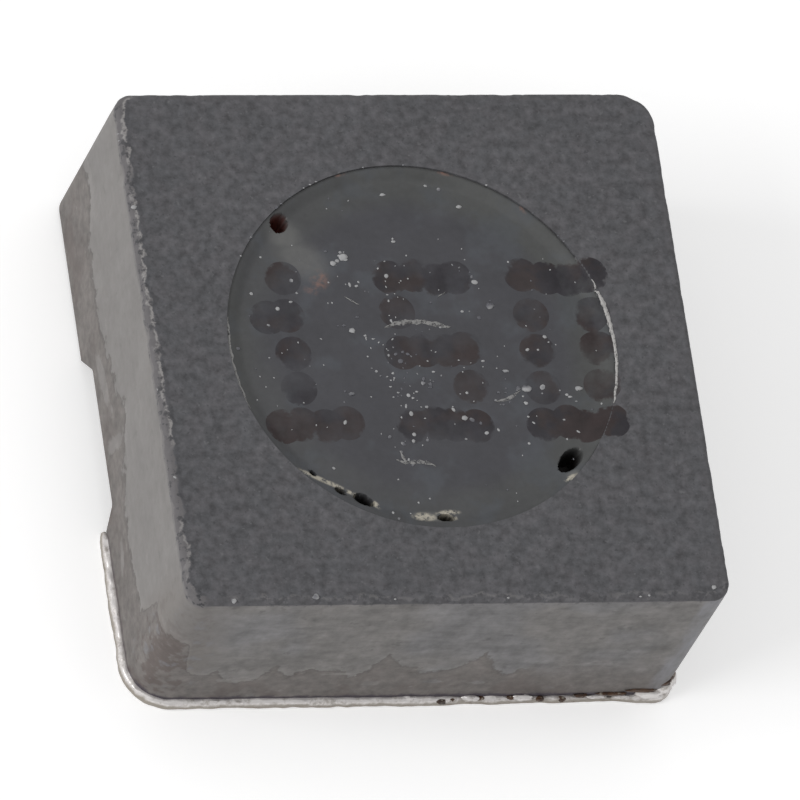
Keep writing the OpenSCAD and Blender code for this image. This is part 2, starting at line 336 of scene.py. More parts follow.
def side_tint(f, s, cloud, front):
    """The sides: bare ferrite below, a pale film above, stains and smears, painted shade in the seam above
    the plating and on the film off the left face, and a painted highlight along the front right edge.
    """
    streaks = f.vary(7, stretch=(1, 1, 0.28))
    bands = f.vary(4.5, stretch=(0.4, 0.4, 1.5))
    mottle = f.vary(3.2, 4)
    spots = f.vary(11)
    bare = f.shade(s.side, 0.97 + streaks * 0.08 + mottle * 0.42 + spots * 0.5)
    reddish = f.step(f.noise(2.1, 3, 0.6), 0.48, 0.62) * f.step(f.z, 0.9, 0.2)
    bare = f.mix(reddish * 0.4, bare, s.stain)
    # the film on the left face is smoother than on the others; off the left face the film is also darkened
    # as painted shade
    uneven_and_shaded = f.step(f.x, -HALF - 0.01, -HALF + 0.06)
    away = f.step(f.attribute("corner"), 0.25, 0.6)
    marks = streaks * 0.16 + bands * away * 0.34 + mottle * 0.36 + spots * 0.3
    film = f.mix(f.step(f.noise(0.9, 2, 0.5), 0.46, 0.6) * uneven_and_shaded * 0.4, s.film, s.cool_film)
    # painted shade: the film off the left face is made darker, as on faces turned from the key light
    film = f.shade(film, 0.99 - uneven_and_shaded * 0.12 + marks * (uneven_and_shaded * 0.75 + 0.3) + (cloud - 0.5) * 0.2)
    dark_spots = f.step(f.noise(8, 3, 0.55), 0.36, 0.28)
    film = f.shade(film, 1 - dark_spots * (0.1 + uneven_and_shaded * 0.16))
    film = f.mix((1 - away) * 0.7, film, s.tan_film)
    ragged = f.attribute("film") + f.vary(4, 4) * 0.2 + f.vary(13) * 0.08
    vague = f.attribute("vague") * 0.34
    covered = f.step(ragged, 0 - vague - 0.012, vague + 0.02)
    smear = f.step(f.attribute("smear") + f.vary(6) * 1.3, 0.3, 0.7)
    covered = covered.most(smear * 0.65)
    line = f.step(ragged, -0.07, -0.015) * f.step(ragged, 0.03, 0.0)
    line = line * (1 - smear) * f.step(vague, 0.15, 0.0)
    lip = f.step(ragged, 0.0, 0.03) * f.step(ragged, 0.14, 0.05) * f.step(f.noise(1.8, 2, 0.5), 0.46, 0.58)
    side = f.mix(covered, bare, film)
    side = f.shade(side, 1 - line * 0.2 + lip * 0.14 + smear * 0.14)
    stained = f.step(f.attribute("corner") + f.vary(4.5) * 0.5 + spots * 0.4, 0.27, 0.1)
    side = f.mix(stained * (0.62 - covered * 0.4), side, s.stain)
    pale = f.step(f.attribute("corner"), 0.5, 0.25) * f.step(f.noise(6, 3, 0.6), 0.58, 0.68)
    side = f.mix(pale * 0.5, side, s.cool_film)
    # painted shade: darker band low on the sides above the plating, strongest on the front
    seam_shade = f.step(f.z + spots * 0.04, 0.155, 0.11) * f.step(f.y, -0.85, -0.95)
    side = f.mix(seam_shade * (front * 0.5 + 0.35), side, s.seam_shade)
    # painted highlight along the front right upright edge
    corner_highlight = f.step(f.x + streaks * 0.06, HALF - 0.27, HALF - 0.18) * f.step(f.y, -HALF + 0.1, -HALF + 0.04)
    side = f.mix(corner_highlight * (0.6 + streaks), side, s.corner_highlight)
    side = f.mix(f.attribute("inner"), side, f.shade(s.side, 0.75 + streaks * 0.2))
    return side


def edge_tint(f, s, tint, front):
    """The tint with the top edges rubbed, chipped and nicked, most of all on the left; the pale ridge is
    chipped ferrite with a painted highlight.
    """
    left = f.step(f.x, -HALF + 0.2, -HALF + 0.14)
    rubbed = f.noise(13, 3, 0.7)
    depth = f.attribute("edge") + f.vary(6, 4) * 0.09
    edge = f.step(f.z, TOP - 0.1, TOP - 0.07)
    strip = edge * f.step(depth, 0.075, 0.055)
    tint = f.mix(strip * (0.12 + left * 0.6), tint, s.worn)
    # pale ridge: chipped ferrite and a painted highlight along the edge
    chips_and_highlight_ridge = edge * f.step(depth, 0.03, 0.05) * f.step(depth, 0.08, 0.06)
    patchy = f.step(f.noise(1.4, 3, 0.6), 0.36, 0.6)
    tint = f.mix(chips_and_highlight_ridge * f.step(rubbed, 0.42, 0.55) * (left * 0.6 + front * 0.16) * patchy, tint, s.chipped)
    nicks = edge * f.step(depth, 0.12, 0.09) * f.step(rubbed, 0.47, 0.37)
    tint = f.mix(nicks * (0.15 + front * 0.35 + left * 0.6), tint, s.dark_grain)
    groove = edge * f.step(depth, 0.07, 0.085) * f.step(depth, 0.13, 0.1)
    tint = f.mix(groove * 0.3 * left, tint, s.dark_grain)
    return tint


def ferrite_finish(s):
    """Sintered ferrite: grained on top, with a film run down the sides and bruised edges, and painted shade
    and highlights on the sides and edges.
    """
    f = Finish("sintered_ferrite")
    grain = f.noise(12, 5, 0.64)
    cloud = f.noise(1.3, 3, 0.55)
    front = f.step(f.y, -HALF + 0.2, -HALF + 0.14)
    on_side = f.step(f.z + (grain - 0.5) * 0.03, TOP - 0.04, TOP - 0.055)
    tint = f.mix(on_side, top_tint(f, s, grain, cloud), side_tint(f, s, cloud, front))
    tint = edge_tint(f, s, tint, front)
    rough = 0.62 + grain * 0.3 - on_side * 0.12
    relief = f.bump(grain, 0.22, 0.005)
    relief = f.bump(f.noise(4, 4, 0.6), 0.2, 0.03, relief)
    return f.surface(Base_Color=tint, Roughness=rough, Normal=relief)


def lacquer(f, s):
    """Tint, roughness and relief of the resin: dark over the drum, paler over the gap, and lighter at the
    west rim as painted light against the bore edge's shadow.
    """
    haze = f.noise(1.6, 3, 0.55)
    fine = f.noise(14, 3, 0.6)
    thick = f.step(f.reach + (haze - 0.5) * 0.22, FLANGE_R - 0.2, FLANGE_R + 0.08)
    # paler over the gap towards the back right, and at the west rim a painted light that offsets the shadow
    # of the bore's edge
    paleness_and_painted_light = f.step(f.x + f.y * 0.5, -1.9, 1.7) * 0.45 + f.step(f.x, -1.45, -1.7) * 0.4 + 0.45
    tint = f.mix(thick * paleness_and_painted_light, s.body, s.edge)
    cloudy = f.noise(2.4, 3, 0.6) + f.step(f.x, 0.3, 1.2) * 0.07
    tint = f.mix(f.step(cloudy, 0.5, 0.66) * 0.45, tint, s.haze)
    tint = f.shade(tint, 0.97 + f.vary(1.6) * 0.16 + f.vary(5, 4) * 0.22 + f.vary(16) * 0.14)
    rough = 0.26 + f.step(f.noise(5, 4, 0.65), 0.42, 0.66) * 0.16 + fine * 0.1 + thick * 0.16
    relief = f.bump(f.noise(3, 3, 0.5), 0.18, 0.03)
    return tint, rough, f.bump(fine, 0.12, 0.006, relief)


def resin_finish(s):
    """Thin glossy resin, with burst bubbles, their cream fringes and rusty stains, painted sheen beside
    them, and painted shade inside them and along the back rim.
    """
    f = Finish("sealing_resin")
    tint, rough, relief = lacquer(f, s)
    fine = f.noise(14, 3, 0.6)
    rim = f.step(f.reach + (fine - 0.5) * 0.03, BORE_R - 0.03, BORE_R - 0.006)
    # painted shade: a dark line along the back rim where the resin steps down from the ring
    tint = f.mix(rim * 0.25 * f.step(f.y, -0.4, 0.6), tint, s.burst)
    # painted sheen beside the bubbles, where the sloping resin reflects light
    tint = f.mix(f.attribute("halo") * (0.3 + fine * 0.45), tint, s.halo)
    tint = f.mix(f.attribute("fringe") * f.step(f.noise(18, 3, 0.7), 0.36, 0.56), tint, s.fringe)
    tint = f.mix(f.attribute("rust") * f.step(fine, 0.36, 0.66) * 0.75, tint, s.rust)
    # painted shade inside the burst bubbles; the back one is rust-coloured
    inside = f.mix(f.step(f.y, 0.4, 0.9), s.burst, s.rusty_burst)
    tint = f.mix(f.attribute("pit"), tint, inside)
    return f.surface(Base_Color=tint, Roughness=rough, Normal=relief)


def tin_finish(s):
    """Tinned silver: bright, lumpy, dulled in patches, darker and duller towards the bottom, and yellowed by
    flux.
    """
    f = Finish("tinned_silver")
    lumps = f.noise(9, 4, 0.6)
    fine = f.noise(34, 2, 0.6)
    dull = f.step(lumps * 0.7 + fine * 0.3, 0.48, 0.66)
    # the lower part of the bead is made darker and duller towards its foot
    low = f.step(f.z + (lumps - 0.5) * 0.1, 0.075, 0.035) * f.step(f.z, 0.003, 0.008)
    tint = f.mix(dull * 0.6, s.tin, s.dull_tin)
    tint = f.mix(low * 0.9, tint, s.dull_tin)
    yellow = f.step(f.noise(2.4, 3, 0.6), 0.6, 0.74)
    tint = f.mix(yellow * 0.35, tint, s.residue)
    return f.surface(Base_Color=tint, Metallic=0.45, Roughness=0.34 + dull * 0.3,
                     Normal=f.bump(lumps + fine * 0.3, 0.3, 0.015))


def solder_finish(s):
    """Reflowed solder with a frosty grain."""
    f = Finish("reflowed_solder")
    frost = f.node("ShaderNodeTexVoronoi", {"feature": "F1"}, {"Vector": f.place, "Scale": 16}, "Distance")
    cloud = f.noise(3, 3, 0.6)
    tint = f.mix(f.step(cloud, 0.42, 0.66), s.tin, s.dull_tin)
    return f.surface(Base_Color=f.shade(tint, 0.8 + frost * 0.3), Metallic=0.9,
                     Roughness=0.22 + cloud * 0.3, Normal=f.bump(frost, 0.3, 0.01))


def residue_finish(s):
    """Hardened flux: translucent brown, glossy, darker where it is thick."""
    f = Finish("flux_residue")
    cloud = f.noise(11, 3, 0.6)
    tint = f.mix(f.step(cloud, 0.4, 0.68), s.residue, linear(38, 22, 14))
    tint = f.mix(f.step(f.noise(24, 2, 0.6), 0.58, 0.7), tint, s.dull_tin)
    return f.surface(Base_Color=tint, Roughness=0.25 + cloud * 0.3, Normal=f.bump(cloud, 0.4, 0.012))


def enamel_finish(s):
    """Clear enamel over drawn copper, with turns of slightly different tone."""
    f = Finish("enamelled_copper")
    turns = f.noise(5, 2, 0.5, stretch=(0.4, 0.4, 2.2))
    drawn = f.noise(40, 2, 0.6, stretch=(0.2, 0.2, 1))
    tint = f.mix(f.step(turns, 0.38, 0.66), s.wire, s.wire_dark)
    return f.surface(Base_Color=f.shade(tint, 0.85 + drawn * 0.3), Metallic=0.55, Coat_Weight=0.6,
                     Roughness=0.26 + drawn * 0.16, Normal=f.bump(drawn, 0.1, 0.004))


def drum_finish(s):
    """Ground ferrite of the drum core, with grinding rings and pores."""
    f = Finish("ground_ferrite")
    grain = f.noise(30, 3, 0.6)
    rings = f.node("ShaderNodeTexWave", {"wave_type": "RINGS", "rings_direction": "Z"},
                   {"Vector": f.place, "Scale": 6, "Distortion": 2.5, "Detail": 2}, "Fac")
    tint = f.mix(f.step(grain, 0.52, 0.36), s.drum, linear(52, 53, 56))
    tint = f.shade(tint, 0.9 + rings * 0.12 + grain * 0.1)
    return f.surface(Base_Color=tint, Roughness=0.55 + grain * 0.25, Normal=f.bump(grain, 0.3, 0.01))


def ink_finish(s, settings):
    """Marking ink that thins out into the resin, or into the ring's face beyond the rim."""
    f = Finish("marking_ink")
    under, rough, relief = lacquer(f, settings.resin)
    under = f.mix(f.step(f.reach, BORE_R - 0.015, BORE_R + 0.005), under, settings.ring.face)
    out = f.attribute("out")
    cover = f.step(out + f.vary(4.5, 4) * 0.6 + f.vary(15) * 0.3, 1.14, 0.86)
    turn = (f.y + 0.03) * (math.pi / (s.row / MM))
    bars = turn.math("COSINE", turn)
    strong = f.step(f.x, 0.35, 0.8) * f.step(f.y * f.y, 0.2, 0.3)
    weight = 0.72 + bars * 0.1 + strong * 0.28 + f.vary(2.6, 4) * 1.1
    tint = f.mix(f.step(f.noise(2.8, 3, 0.5), 0.44, 0.58), s.tint, s.warm_tint)
    tint = f.mix((cover * weight).least(1), under, f.shade(tint, 1 + f.vary(8) * 0.5))
    return f.surface(Base_Color=tint, Roughness=rough + cover * 0.1, Normal=relief)


def dust_finish(s):
    """Pale dust, some of it grey."""
    f = Finish("dust")
    tone = f.noise(4, 2, 0.7)
    tint = f.mix(f.step(tone, 0.48, 0.6), s.tint, s.grey_tint)
    return f.surface(Base_Color=tint, Roughness=0.6 + tone * 0.3, Alpha=0.55 + f.noise(9, 1) * 0.4)


def scratch_finish(s):
    """Whitened resin along a scratch, and a painted highlight where the ribbons follow the bore's right
    edge.
    """
    f = Finish("whitened_resin")
    broken = f.noise(26, 3, 0.7)
    # painted highlight on the ribbons along the bore's right edge
    rim = f.step(f.reach, 1.66, 1.7)
    tint = f.mix(rim * f.step(f.x, 0, 1), s.scratch, s.rim_highlight)
    tint = f.shade(tint, 0.7 + broken * 0.6)
    return f.surface(Base_Color=tint, Roughness=0.5 + broken * 0.3,
                     Alpha=f.step(broken + rim * 0.05, 0.33, 0.55) * 0.8 + 0.05)


# ---------------------------------------------------------------- meshes

def make_mesh(name, points, faces):
    """A mesh from points in millimetres."""
    mesh = bpy.data.meshes.new(name)
    mesh.from_pydata((np.asarray(points, float) * MM).tolist(), [], faces)
    mesh.update()
    return mesh


def points_of(mesh):
    """The mesh's points in millimetres, one row each."""
    co = np.zeros(len(mesh.vertices) * 3, np.float64)
    mesh.vertices.foreach_get("co", co)
    return co.reshape(-1, 3) / MM


def put_points(mesh, points):
    mesh.vertices.foreach_set("co", (np.asarray(points) * MM).astype(np.float32).ravel())
    mesh.update()


def store(mesh, name, values):
    layer = mesh.attributes.new(name, "FLOAT", "POINT")
    layer.data.foreach_set("value", np.asarray(values, np.float32))


def smooth(mesh, angle=35):
    mesh.shade_smooth()
    mesh.set_sharp_from_angle(angle=math.radians(angle))


def piece(name, mesh, material, slot, *nodes):
    """Puts a finished mesh in the scene, as a piece that may stand for CAD nodes."""
    mesh.materials.clear()
    mesh.materials.append(material)
    thing = bpy.data.objects.new(name, mesh)
    bpy.context.scene.collection.objects.link(thing)
    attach(thing, "root")
    if nodes:
        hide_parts(*nodes)
    return thing


def discard(thing):
    """Removes an object and its mesh."""
    mesh = thing.data
    bpy.data.objects.remove(thing)
    bpy.data.meshes.remove(mesh)


def evaluated(thing, name):
    """A plain mesh of what the object's modifiers make. The object itself is removed."""
    graph = bpy.context.evaluated_depsgraph_get()
    mesh = bpy.data.meshes.new_from_object(thing.evaluated_get(graph), depsgraph=graph)
    mesh.name = name
    discard(thing)
    return mesh


def loose(name, mesh):
    """An object for a mesh that is still being worked on."""
    thing = bpy.data.objects.new(name, mesh)
    bpy.context.scene.collection.objects.link(thing)
    return thing


def cut(mesh, cutters):
    """The mesh with closed cutter meshes taken away."""
    body = loose("cut_body", mesh)
    tools = [loose("cutter", cutter) for cutter in cutters]
    for tool in tools:
        modifier = body.modifiers.new("cut", "BOOLEAN")
        modifier.operation, modifier.solver, modifier.object = "DIFFERENCE", "EXACT", tool
    result = evaluated(body, mesh.name)
    for tool in tools:
        discard(tool)
    return result


def rounded_square(half, radii, inset=0, spacing=0.03, arc_steps=14):
    """Points round a square, anticlockwise, with its corners' radii from the front right on."""
    signs = ((1, -1), (1, 1), (-1, 1), (-1, -1))
    corners = []
    for turn, ((sx, sy), r) in enumerate(zip(signs, radii)):
        r = max(r - inset, 0.01)
        reach = half - inset - r
        corners.append(arc(sx * reach, sy * reach, r, -90 + 90 * turn, 90 * turn, arc_steps))
    steps = round(2 * half / spacing)
    points = []
    for turn in range(4):
        start, end = np.array(corners[turn][-1]), np.array(corners[(turn + 1) % 4][0])
        points += corners[turn] + [tuple(start + (end - start) * i / steps) for i in range(1, steps)]
    return points


def corner_radii(s, z):
    """Radii of the ring's corners at a height, from the front right on."""
    lean = s.lean_foot + (s.lean_top - s.lean_foot) * z / TOP
    return [r / MM for r in (s.tight_corner, s.wide_corner, s.tight_corner, lean)]


def stack(levels):
    """Points and faces of a closed solid made of equal loops, one above the other."""
    count = len(levels[0])
    points = [p for level in levels for p in level]
    faces = [(j * count + i, j * count + (i + 1) % count,
              (j + 1) * count + (i + 1) % count, (j + 1) * count + i)
             for j in range(len(levels) - 1) for i in range(count)]
    last = (len(levels) - 1) * count
    faces += [tuple(range(count - 1, -1, -1)), tuple(range(last, last + count))]
    return points, faces


def prism(name, section, low, high, axis):
    """A closed prism on a section given anticlockwise as seen from the axis's far end."""
    def place(u, v, w):
        return (w, u, v) if axis == "X" else (u, v, w)
    return make_mesh(name, *stack([[place(u, v, w) for u, v in section] for w in (low, high)]))


def arc(cx, cy, r, start, end, steps):
    return [(cx + r * math.cos(math.radians(a)), cy + r * math.sin(math.radians(a)))
            for a in np.linspace(start, end, steps + 1)]


def run_height(t, tongues, corners, seed):
    """Height of the film's lower edge, at t along a side: tongues (place, tip, spread), and at its
    two ends the height at the corner, and how far from it the edge starts and has reached it."""
    sway = t + 0.05 * noise.noise(Vector((t * 6, seed, 3)))
    height = min(tip + (sway - place) ** 2 / spread for place, tip, spread in tongues)
    height = min(height, 1.06) + 0.06 * noise.noise(Vector((t * 4.1, seed, 0.5)))
    for end, level, far, close in ((-1, *corners[0]), (1, *corners[1])):
        height += (level - height) * fade(HALF - end * t, far, close)
    return height


# Pale smears below the film: side, place, height, length, width, angle
SMEARS = ((0, 1.08, 0.77, 0.7, 0.1, 0), (0, 0.2, 0.39, 0.36, 0.08, -3), (0, 0.62, 0.37, 0.24, 0.07, 4),
          (0, -1.55, 0.48, 0.6, 0.12, 5), (0, -0.75, 0.57, 0.34, 0.08, 0), (0, 0.02, 0.64, 0.36, 0.08, -2),
          (0, 1.5, 0.7, 0.5, 0.07, 2), (0, -0.35, 0.37, 0.3, 0.06, 0), (0, 1.9, 0.95, 0.3, 0.06, -3),
          (3, 0.36, 0.6, 0.9, 0.26, -14), (3, -0.28, 0.66, 0.2, 0.5, 12), (3, -2.2, 0.72, 0.14, 0.26, 10),
          (3, -1.2, 0.42, 0.5, 0.14, 20), (2, -0.8, 0.5, 0.8, 0.2, 8), (1, 0.9, 0.45, 0.7, 0.16, -6))


CHIP_SPREAD = 0.085                    # how far the chips reach from the top edge
CHIP_WEIGHTS = (0.4, 0.35, 0.45, 1.0)  # on the front, right, back and left sides


def ring_sides(x, y):
    """Which side a point is on (0 front, 1 right, 2 back, 3 left) and where along it."""
    if abs(y) >= abs(x):
        return (0, x) if y < 0 else (2, x)
    return (1, y) if x > 0 else (3, y)


def film_edges():
    """The film's tongues and corners on the front, right, back and left sides."""
    rng = np.random.default_rng(5)
    front = [(-2.02, 0.55, 0.25), (-1.6, 0.42, 0.22), (-1.18, 0.58, 0.12), (-0.95, 0.64, 1.2),
             (-0.58, 0.52, 0.1), (0.08, 0.6, 0.55), (0.82, 0.52, 0.12), (1.2, 0.62, 1.5), (2.1, 0.6, 2)]
    left = [(1.05, 0.73, 3.6), (-1.4, 0.63, 3.2)]
    right, back = (
        [(t, rng.uniform(0.5, 0.75), rng.uniform(0.2, 0.9)) for t in np.arange(-2.2, 2.4, 0.7)]
        for _ in range(2))
    plain, high = (0.6, 0.4, 0.1), (0.9, 0.5, 0.1)
    return [(front, ((1.2, 0.36, 0.2), plain)), (right, (plain, high)), (back, (high, high)),
            (left, ((1.16, 0.56, 0.4), high))]


def ring_body(s):
    """The ring before it is chipped: a bevelled block, less its bore, channel and lead grooves."""
    bevel = s.bevel / MM
    soft = [(bevel * (1 - math.cos(a)), TOP - bevel * (1 - math.sin(a)))
            for a in np.linspace(0, math.pi / 2, 7)]
    rise = [FOOT_Z, *np.arange(0.075, TOP - 0.2, 0.035), *np.arange(TOP - 0.18, TOP - bevel, 0.025)]
    levels = [(0.012 if z == FOOT_Z else 0, z) for z in rise] + soft
    levels += [(inset, TOP) for inset in (0.065, 0.085, 0.11, 0.15)]
    points, faces = stack([[(x, y, z) for x, y in rounded_square(HALF, corner_radii(s, z), inset)]
                           for inset, z in levels])
    body = make_mesh("ferrite_ring", points, faces)

    bore = prism("bore", arc(0, 0, BORE_R, 0, 360, 360)[:-1], -1, TOP + 1, "Z")
    front = s.foot / MM - HALF - 0.04
    back = HALF + 0.04 - s.foot / MM
    roof, soft_r = FOOT_Z + s.channel / MM, 0.06
    section = [(front, -1), (back, -1), (back, FOOT_Z)]
    section += arc(back - s.gentle / MM - soft_r, roof - soft_r, soft_r, 50, 90, 5)
    section += arc(front + s.steep / MM + soft_r, roof - soft_r, soft_r, 90, 160, 6)
    section += [(front, FOOT_Z)]
    channel = prism("channel", section, -HALF - 1, HALF + 1, "X")
    half_w, reach = s.groove_w / MM / 2, HALF - s.groove_wall / MM
    grooves = []
    for turn in (1, -1):
        x = turn * s.groove_x / MM
        corner = [(x - half_w, -reach), (x + half_w, -reach), (x + half_w, 0), (x - half_w, 0)]
        if turn < 0:
            corner = [(x - half_w, 0), (x + half_w, 0), (x + half_w, reach), (x - half_w, reach)]
        grooves.append(prism("groove", corner, -1, FOOT_Z + s.groove_h / MM, "Z"))
    return cut(body, [bore, channel, *grooves])


def way_out(s, side, x, y, z):
    """The direction out of the ring's side at a point, and how deep under the side it lies."""
    r = corner_radii(s, z)[(3 if y < 0 else 2) if x < 0 else (0 if y < 0 else 1)]
    cx, cy = math.copysign(HALF - r, x), math.copysign(HALF - r, y)
    if abs(x) > abs(cx) and abs(y) > abs(cy):
        outward = Vector((x - cx, y - cy))
        return outward, r - outward.length
    outward = (math.copysign(1, x), 0) if side in (1, 3) else (0, math.copysign(1, y))
    return Vector(outward), HALF - max(abs(x), abs(y))


def chipped(s, side, point, outward, depth):
    """A point near the top edge, moved in where the edge is chipped."""
    x, y, z = point
    tall = 0.5 if side == 3 else 1
    near = math.exp(-((depth ** 2 + ((TOP - z) * tall) ** 2) / CHIP_SPREAD ** 2))
    rough = noise.fractal(Vector((x * 5, y * 5, z * 3)), 0.9, 2.1, 4)
    fine = noise.noise(Vector((x * 21, y * 21, z * 9)))
    chip = CHIP_WEIGHTS[side] * near * (0.1 + max(0, rough) * 0.9 + max(0, fine) * 0.35)
    return point - np.array((*(outward.normalized() * 0.8), 0.6)) * min(chip, 1) * s.chip / MM


class INDUCTOR_OT_ring(bpy.types.Operator):
    """Makes the ferrite ring with its feet, lead grooves, chipped edges and film"""
    bl_idname = "inductor.ring"
    bl_label = "Ferrite ring"

    def execute(self, context):
        s = context.scene.inductor.ring
        mesh = ring_body(s)
        points = points_of(mesh)
        edges = film_edges()
        marks = {name: np.zeros(len(points))
                 for name in ("film", "corner", "edge", "inner", "smear", "vague")}
        for i, (x, y, z) in enumerate(points):
            side, t = ring_sides(x, y)
            tongues, ends = edges[side]
            outward, depth = way_out(s, side, x, y, z)
            smears = (fade(spot(t, z, *rest), 1.2, 0.2) for face, *rest in SMEARS if face == side)
            marks["film"][i] = z - run_height(t, tongues, ends, side * 3.7)
            marks["vague"][i] = (fade(t, 0.85, 1.3), fade(t, -0.5, -1.5), fade(t, 0, 1), 0)[side]
            marks["smear"][i] = max(smears, default=0)
            marks["corner"][i] = math.hypot(x + 2.34, y + 2.36, (z - 0.85) * 0.35)
            marks["inner"][i] = math.hypot(x, y) < BORE_R + 0.01 or depth > 0.02 and z < 1
            marks["edge"][i] = depth
            if depth < 0.2 and TOP - z < 0.24:
                points[i] = chipped(s, side, points[i], outward, depth)
            elif z < FOOT_Z + 0.02 and depth < 0.05:
                points[i][2] += 0.012 * max(0, noise.noise(Vector((x * 6, y * 6, 3))))
        put_points(mesh, points)
        for name, values in marks.items():
            store(mesh, name, values)
        smooth(mesh, 32)
        piece("ferrite_ring", mesh, ferrite_finish(s), "ferrite", "shield_ring")
        return {"FINISHED"}


def resin_height(s, r):
    """Height of the resin at a distance from the axis, before bubbles."""
    def ease(v):
        return (1 - math.cos(math.pi * min(max(v, 0), 1))) / 2
    edge, low = BORE_R - s.border / MM, (BORE_R + FLANGE_R) / 2
    out = ease((r - edge) / (low - edge))
    up = ease((r - low) / (BORE_R - low))
    return TOP - s.setback / MM - (s.sag - s.setback) / MM * out + (s.sag - s.rim) / MM * up


def resin_top(s, x, y):
    """Height of the resin at a point, with its slow waves but without its bubbles."""
    wave = 0.004 * noise.noise(Vector((x * 2.2, y * 2.2, 7)))
    return resin_height(s, math.hypot(x, y)) + wave


# Burst bubbles in the resin: angle, distance in from the bore, length, width, depth
BURSTS = ((132.5, 0.1, 0.165, 0.15, 0.26), (-42, 0.13, 0.27, 0.15, 0.3), (-124, 0.1, 0.1, 0.06, 0.14),
          (-116.5, 0.13, 0.18, 0.1, 0.22), (-134, 0.09, 0.06, 0.04, 0.1), (-90, 0.12, 0.15, 0.07, 0.2))
# Pale patches of painted sheen, where the sloping resin beside the bubbles reflects light, and cream fringes
# beside the bubbles: x, y, length, width, angle
PAINTED_SHEENS = ((-1.08, 1.1, 0.42, 0.34, -45), (-0.12, -1.62, 0.46, 0.12, -4), (1.2, -1.24, 0.16, 0.1, 20),
         (-0.95, 0.86, 0.6, 0.4, -35))
FRINGES = ((-1.08, -1.26, 0.5, 0.06, -23), (-0.8, -1.4, 0.2, 0.05, -30), (-0.2, -1.62, 0.24, 0.1, -2),
           (-0.62, -1.5, 0.06, 0.1, 30), (1.18, -1.27, 0.16, 0.06, 25), (0.02, -1.58, 0.24, 0.06, 4),
           (0.06, -1.63, 0.08, 0.06, 0))
RUSTS = ((-0.82, 0.66, 0.14, 0.2, -20), (-0.9, 0.56, 0.12, 0.08, 10), (-0.5, 1.67, 0.1, 0.04, 16),
         (0.45, 1.68, 0.16, 0.04, -14), (1.1, 1.34, 0.14, 0.04, -50))


def spot(x, y, px, py, long, wide, angle):
    """How far out a point is in an oval patch: 0 in its middle and 1 on its rim."""
    turn = math.radians(angle)
    u = (x - px) * math.cos(turn) + (y - py) * math.sin(turn)
    v = (y - py) * math.cos(turn) - (x - px) * math.sin(turn)
    return math.hypot(u / long * 2, v / wide * 2)


def fade(value, low, high):
    t = min(max((value - low) / (high - low), 0), 1)
    return t * t * (3 - 2 * t)


def bubble(x, y):
    """Depth of the bubbles at a point, and how much of the painted shade inside them shows there."""
    deep = dark = 0
    for angle, back, long, wide, depth in BURSTS:
        turn = math.radians(angle)
        r = BORE_R - back
        q = spot(x, y, r * math.cos(turn), r * math.sin(turn), long, wide, angle + 90)
        if q < 1.6:
            q += 0.12 * noise.noise(Vector((x * 14, y * 14, angle)))
            deep = max(deep, depth * fade(q, 1.08, 0.8))
            dark = max(dark, fade(q, 1.1, 0.92))
    return deep, dark


def resin_point(s, x, y):
    """Height of the resin at a point, and how much pit, painted sheen, fringe and rust it shows."""
    deep, dark = bubble(x, y) if math.hypot(x, y) > 1.3 else (0, 0)
    pale, cream, red = (
        max(fade(spot(x, y, *patch), far, close) for patch in patches)
        for patches, far, close in ((PAINTED_SHEENS, 1.15, 0.3), (FRINGES, 1.1, 0.6), (RUSTS, 1.2, 0.4)))
    return resin_top(s, x, y) - deep, (dark, pale, cream, red)


class INDUCTOR_OT_resin(bpy.types.Operator):
    """Makes the resin over the drum, with its sagging border and burst bubbles"""
    bl_idname = "inductor.resin"
    bl_label = "Sealing resin"

    def execute(self, context):
        s = context.scene.inductor.resin
        around, outer, clean = 600, BORE_R - 0.002, (0, 0, 0, 0)
        top = [(r, None) for r in [0.05 * i for i in range(1, 26)] + list(np.linspace(1.28, outer, 54))]
        under = [(outer, SKIRT_Z), (FLANGE_R, SKIRT_Z), (FLANGE_R, DRUM_TOP - 0.03),
                 (FLANGE_R - 0.04, DRUM_TOP + 0.002)]
        points, marks = [], []
        for r, z in top + under:
            for i in range(around):
                turn = 2 * math.pi * i / around
                x, y = r * math.cos(turn), r * math.sin(turn)
                height, marked = resin_point(s, x, y) if z is None else (z, clean)
                points.append((x, y, height))
                marks.append(marked)
        loops = len(top + under)
        faces = [(j * around + i, (j + 1) * around + i, (j + 1) * around + (i + 1) % around,
                  j * around + (i + 1) % around) for j in range(loops - 1) for i in range(around)]
        hub, base = len(points), len(points) + 1
        points += [(0, 0, resin_top(s, 0, 0)), (0, 0, DRUM_TOP + 0.002)]
        marks += [clean, clean]
        faces += [(hub, i, (i + 1) % around) for i in range(around)]
        last = (loops - 1) * around
        faces += [(last + (i + 1) % around, last + i, base) for i in range(around)]
        mesh = make_mesh("sealing_resin", points, faces)
        for name, values in zip(("pit", "halo", "fringe", "rust"), np.array(marks).T):
            store(mesh, name, values)
        smooth(mesh, 60)
        piece("sealing_resin", mesh, resin_finish(s), "resin", "top_resin")
        return {"FINISHED"}


def along(path, places):
    """Distances along a path, the points there and the unit direction ahead at each. The
    distances are places(the path's length)."""
    path = np.array(path, float)
    steps = np.r_[0, np.cumsum(np.hypot(*np.diff(path, axis=0).T))]
    at = places(steps[-1])
    line = np.stack([np.interp(at, steps, path[:, k]) for k in (0, 1)], 1)
    ahead = np.gradient(line, axis=0)
    return at, line, ahead / np.linalg.norm(ahead, axis=1)[:, None]


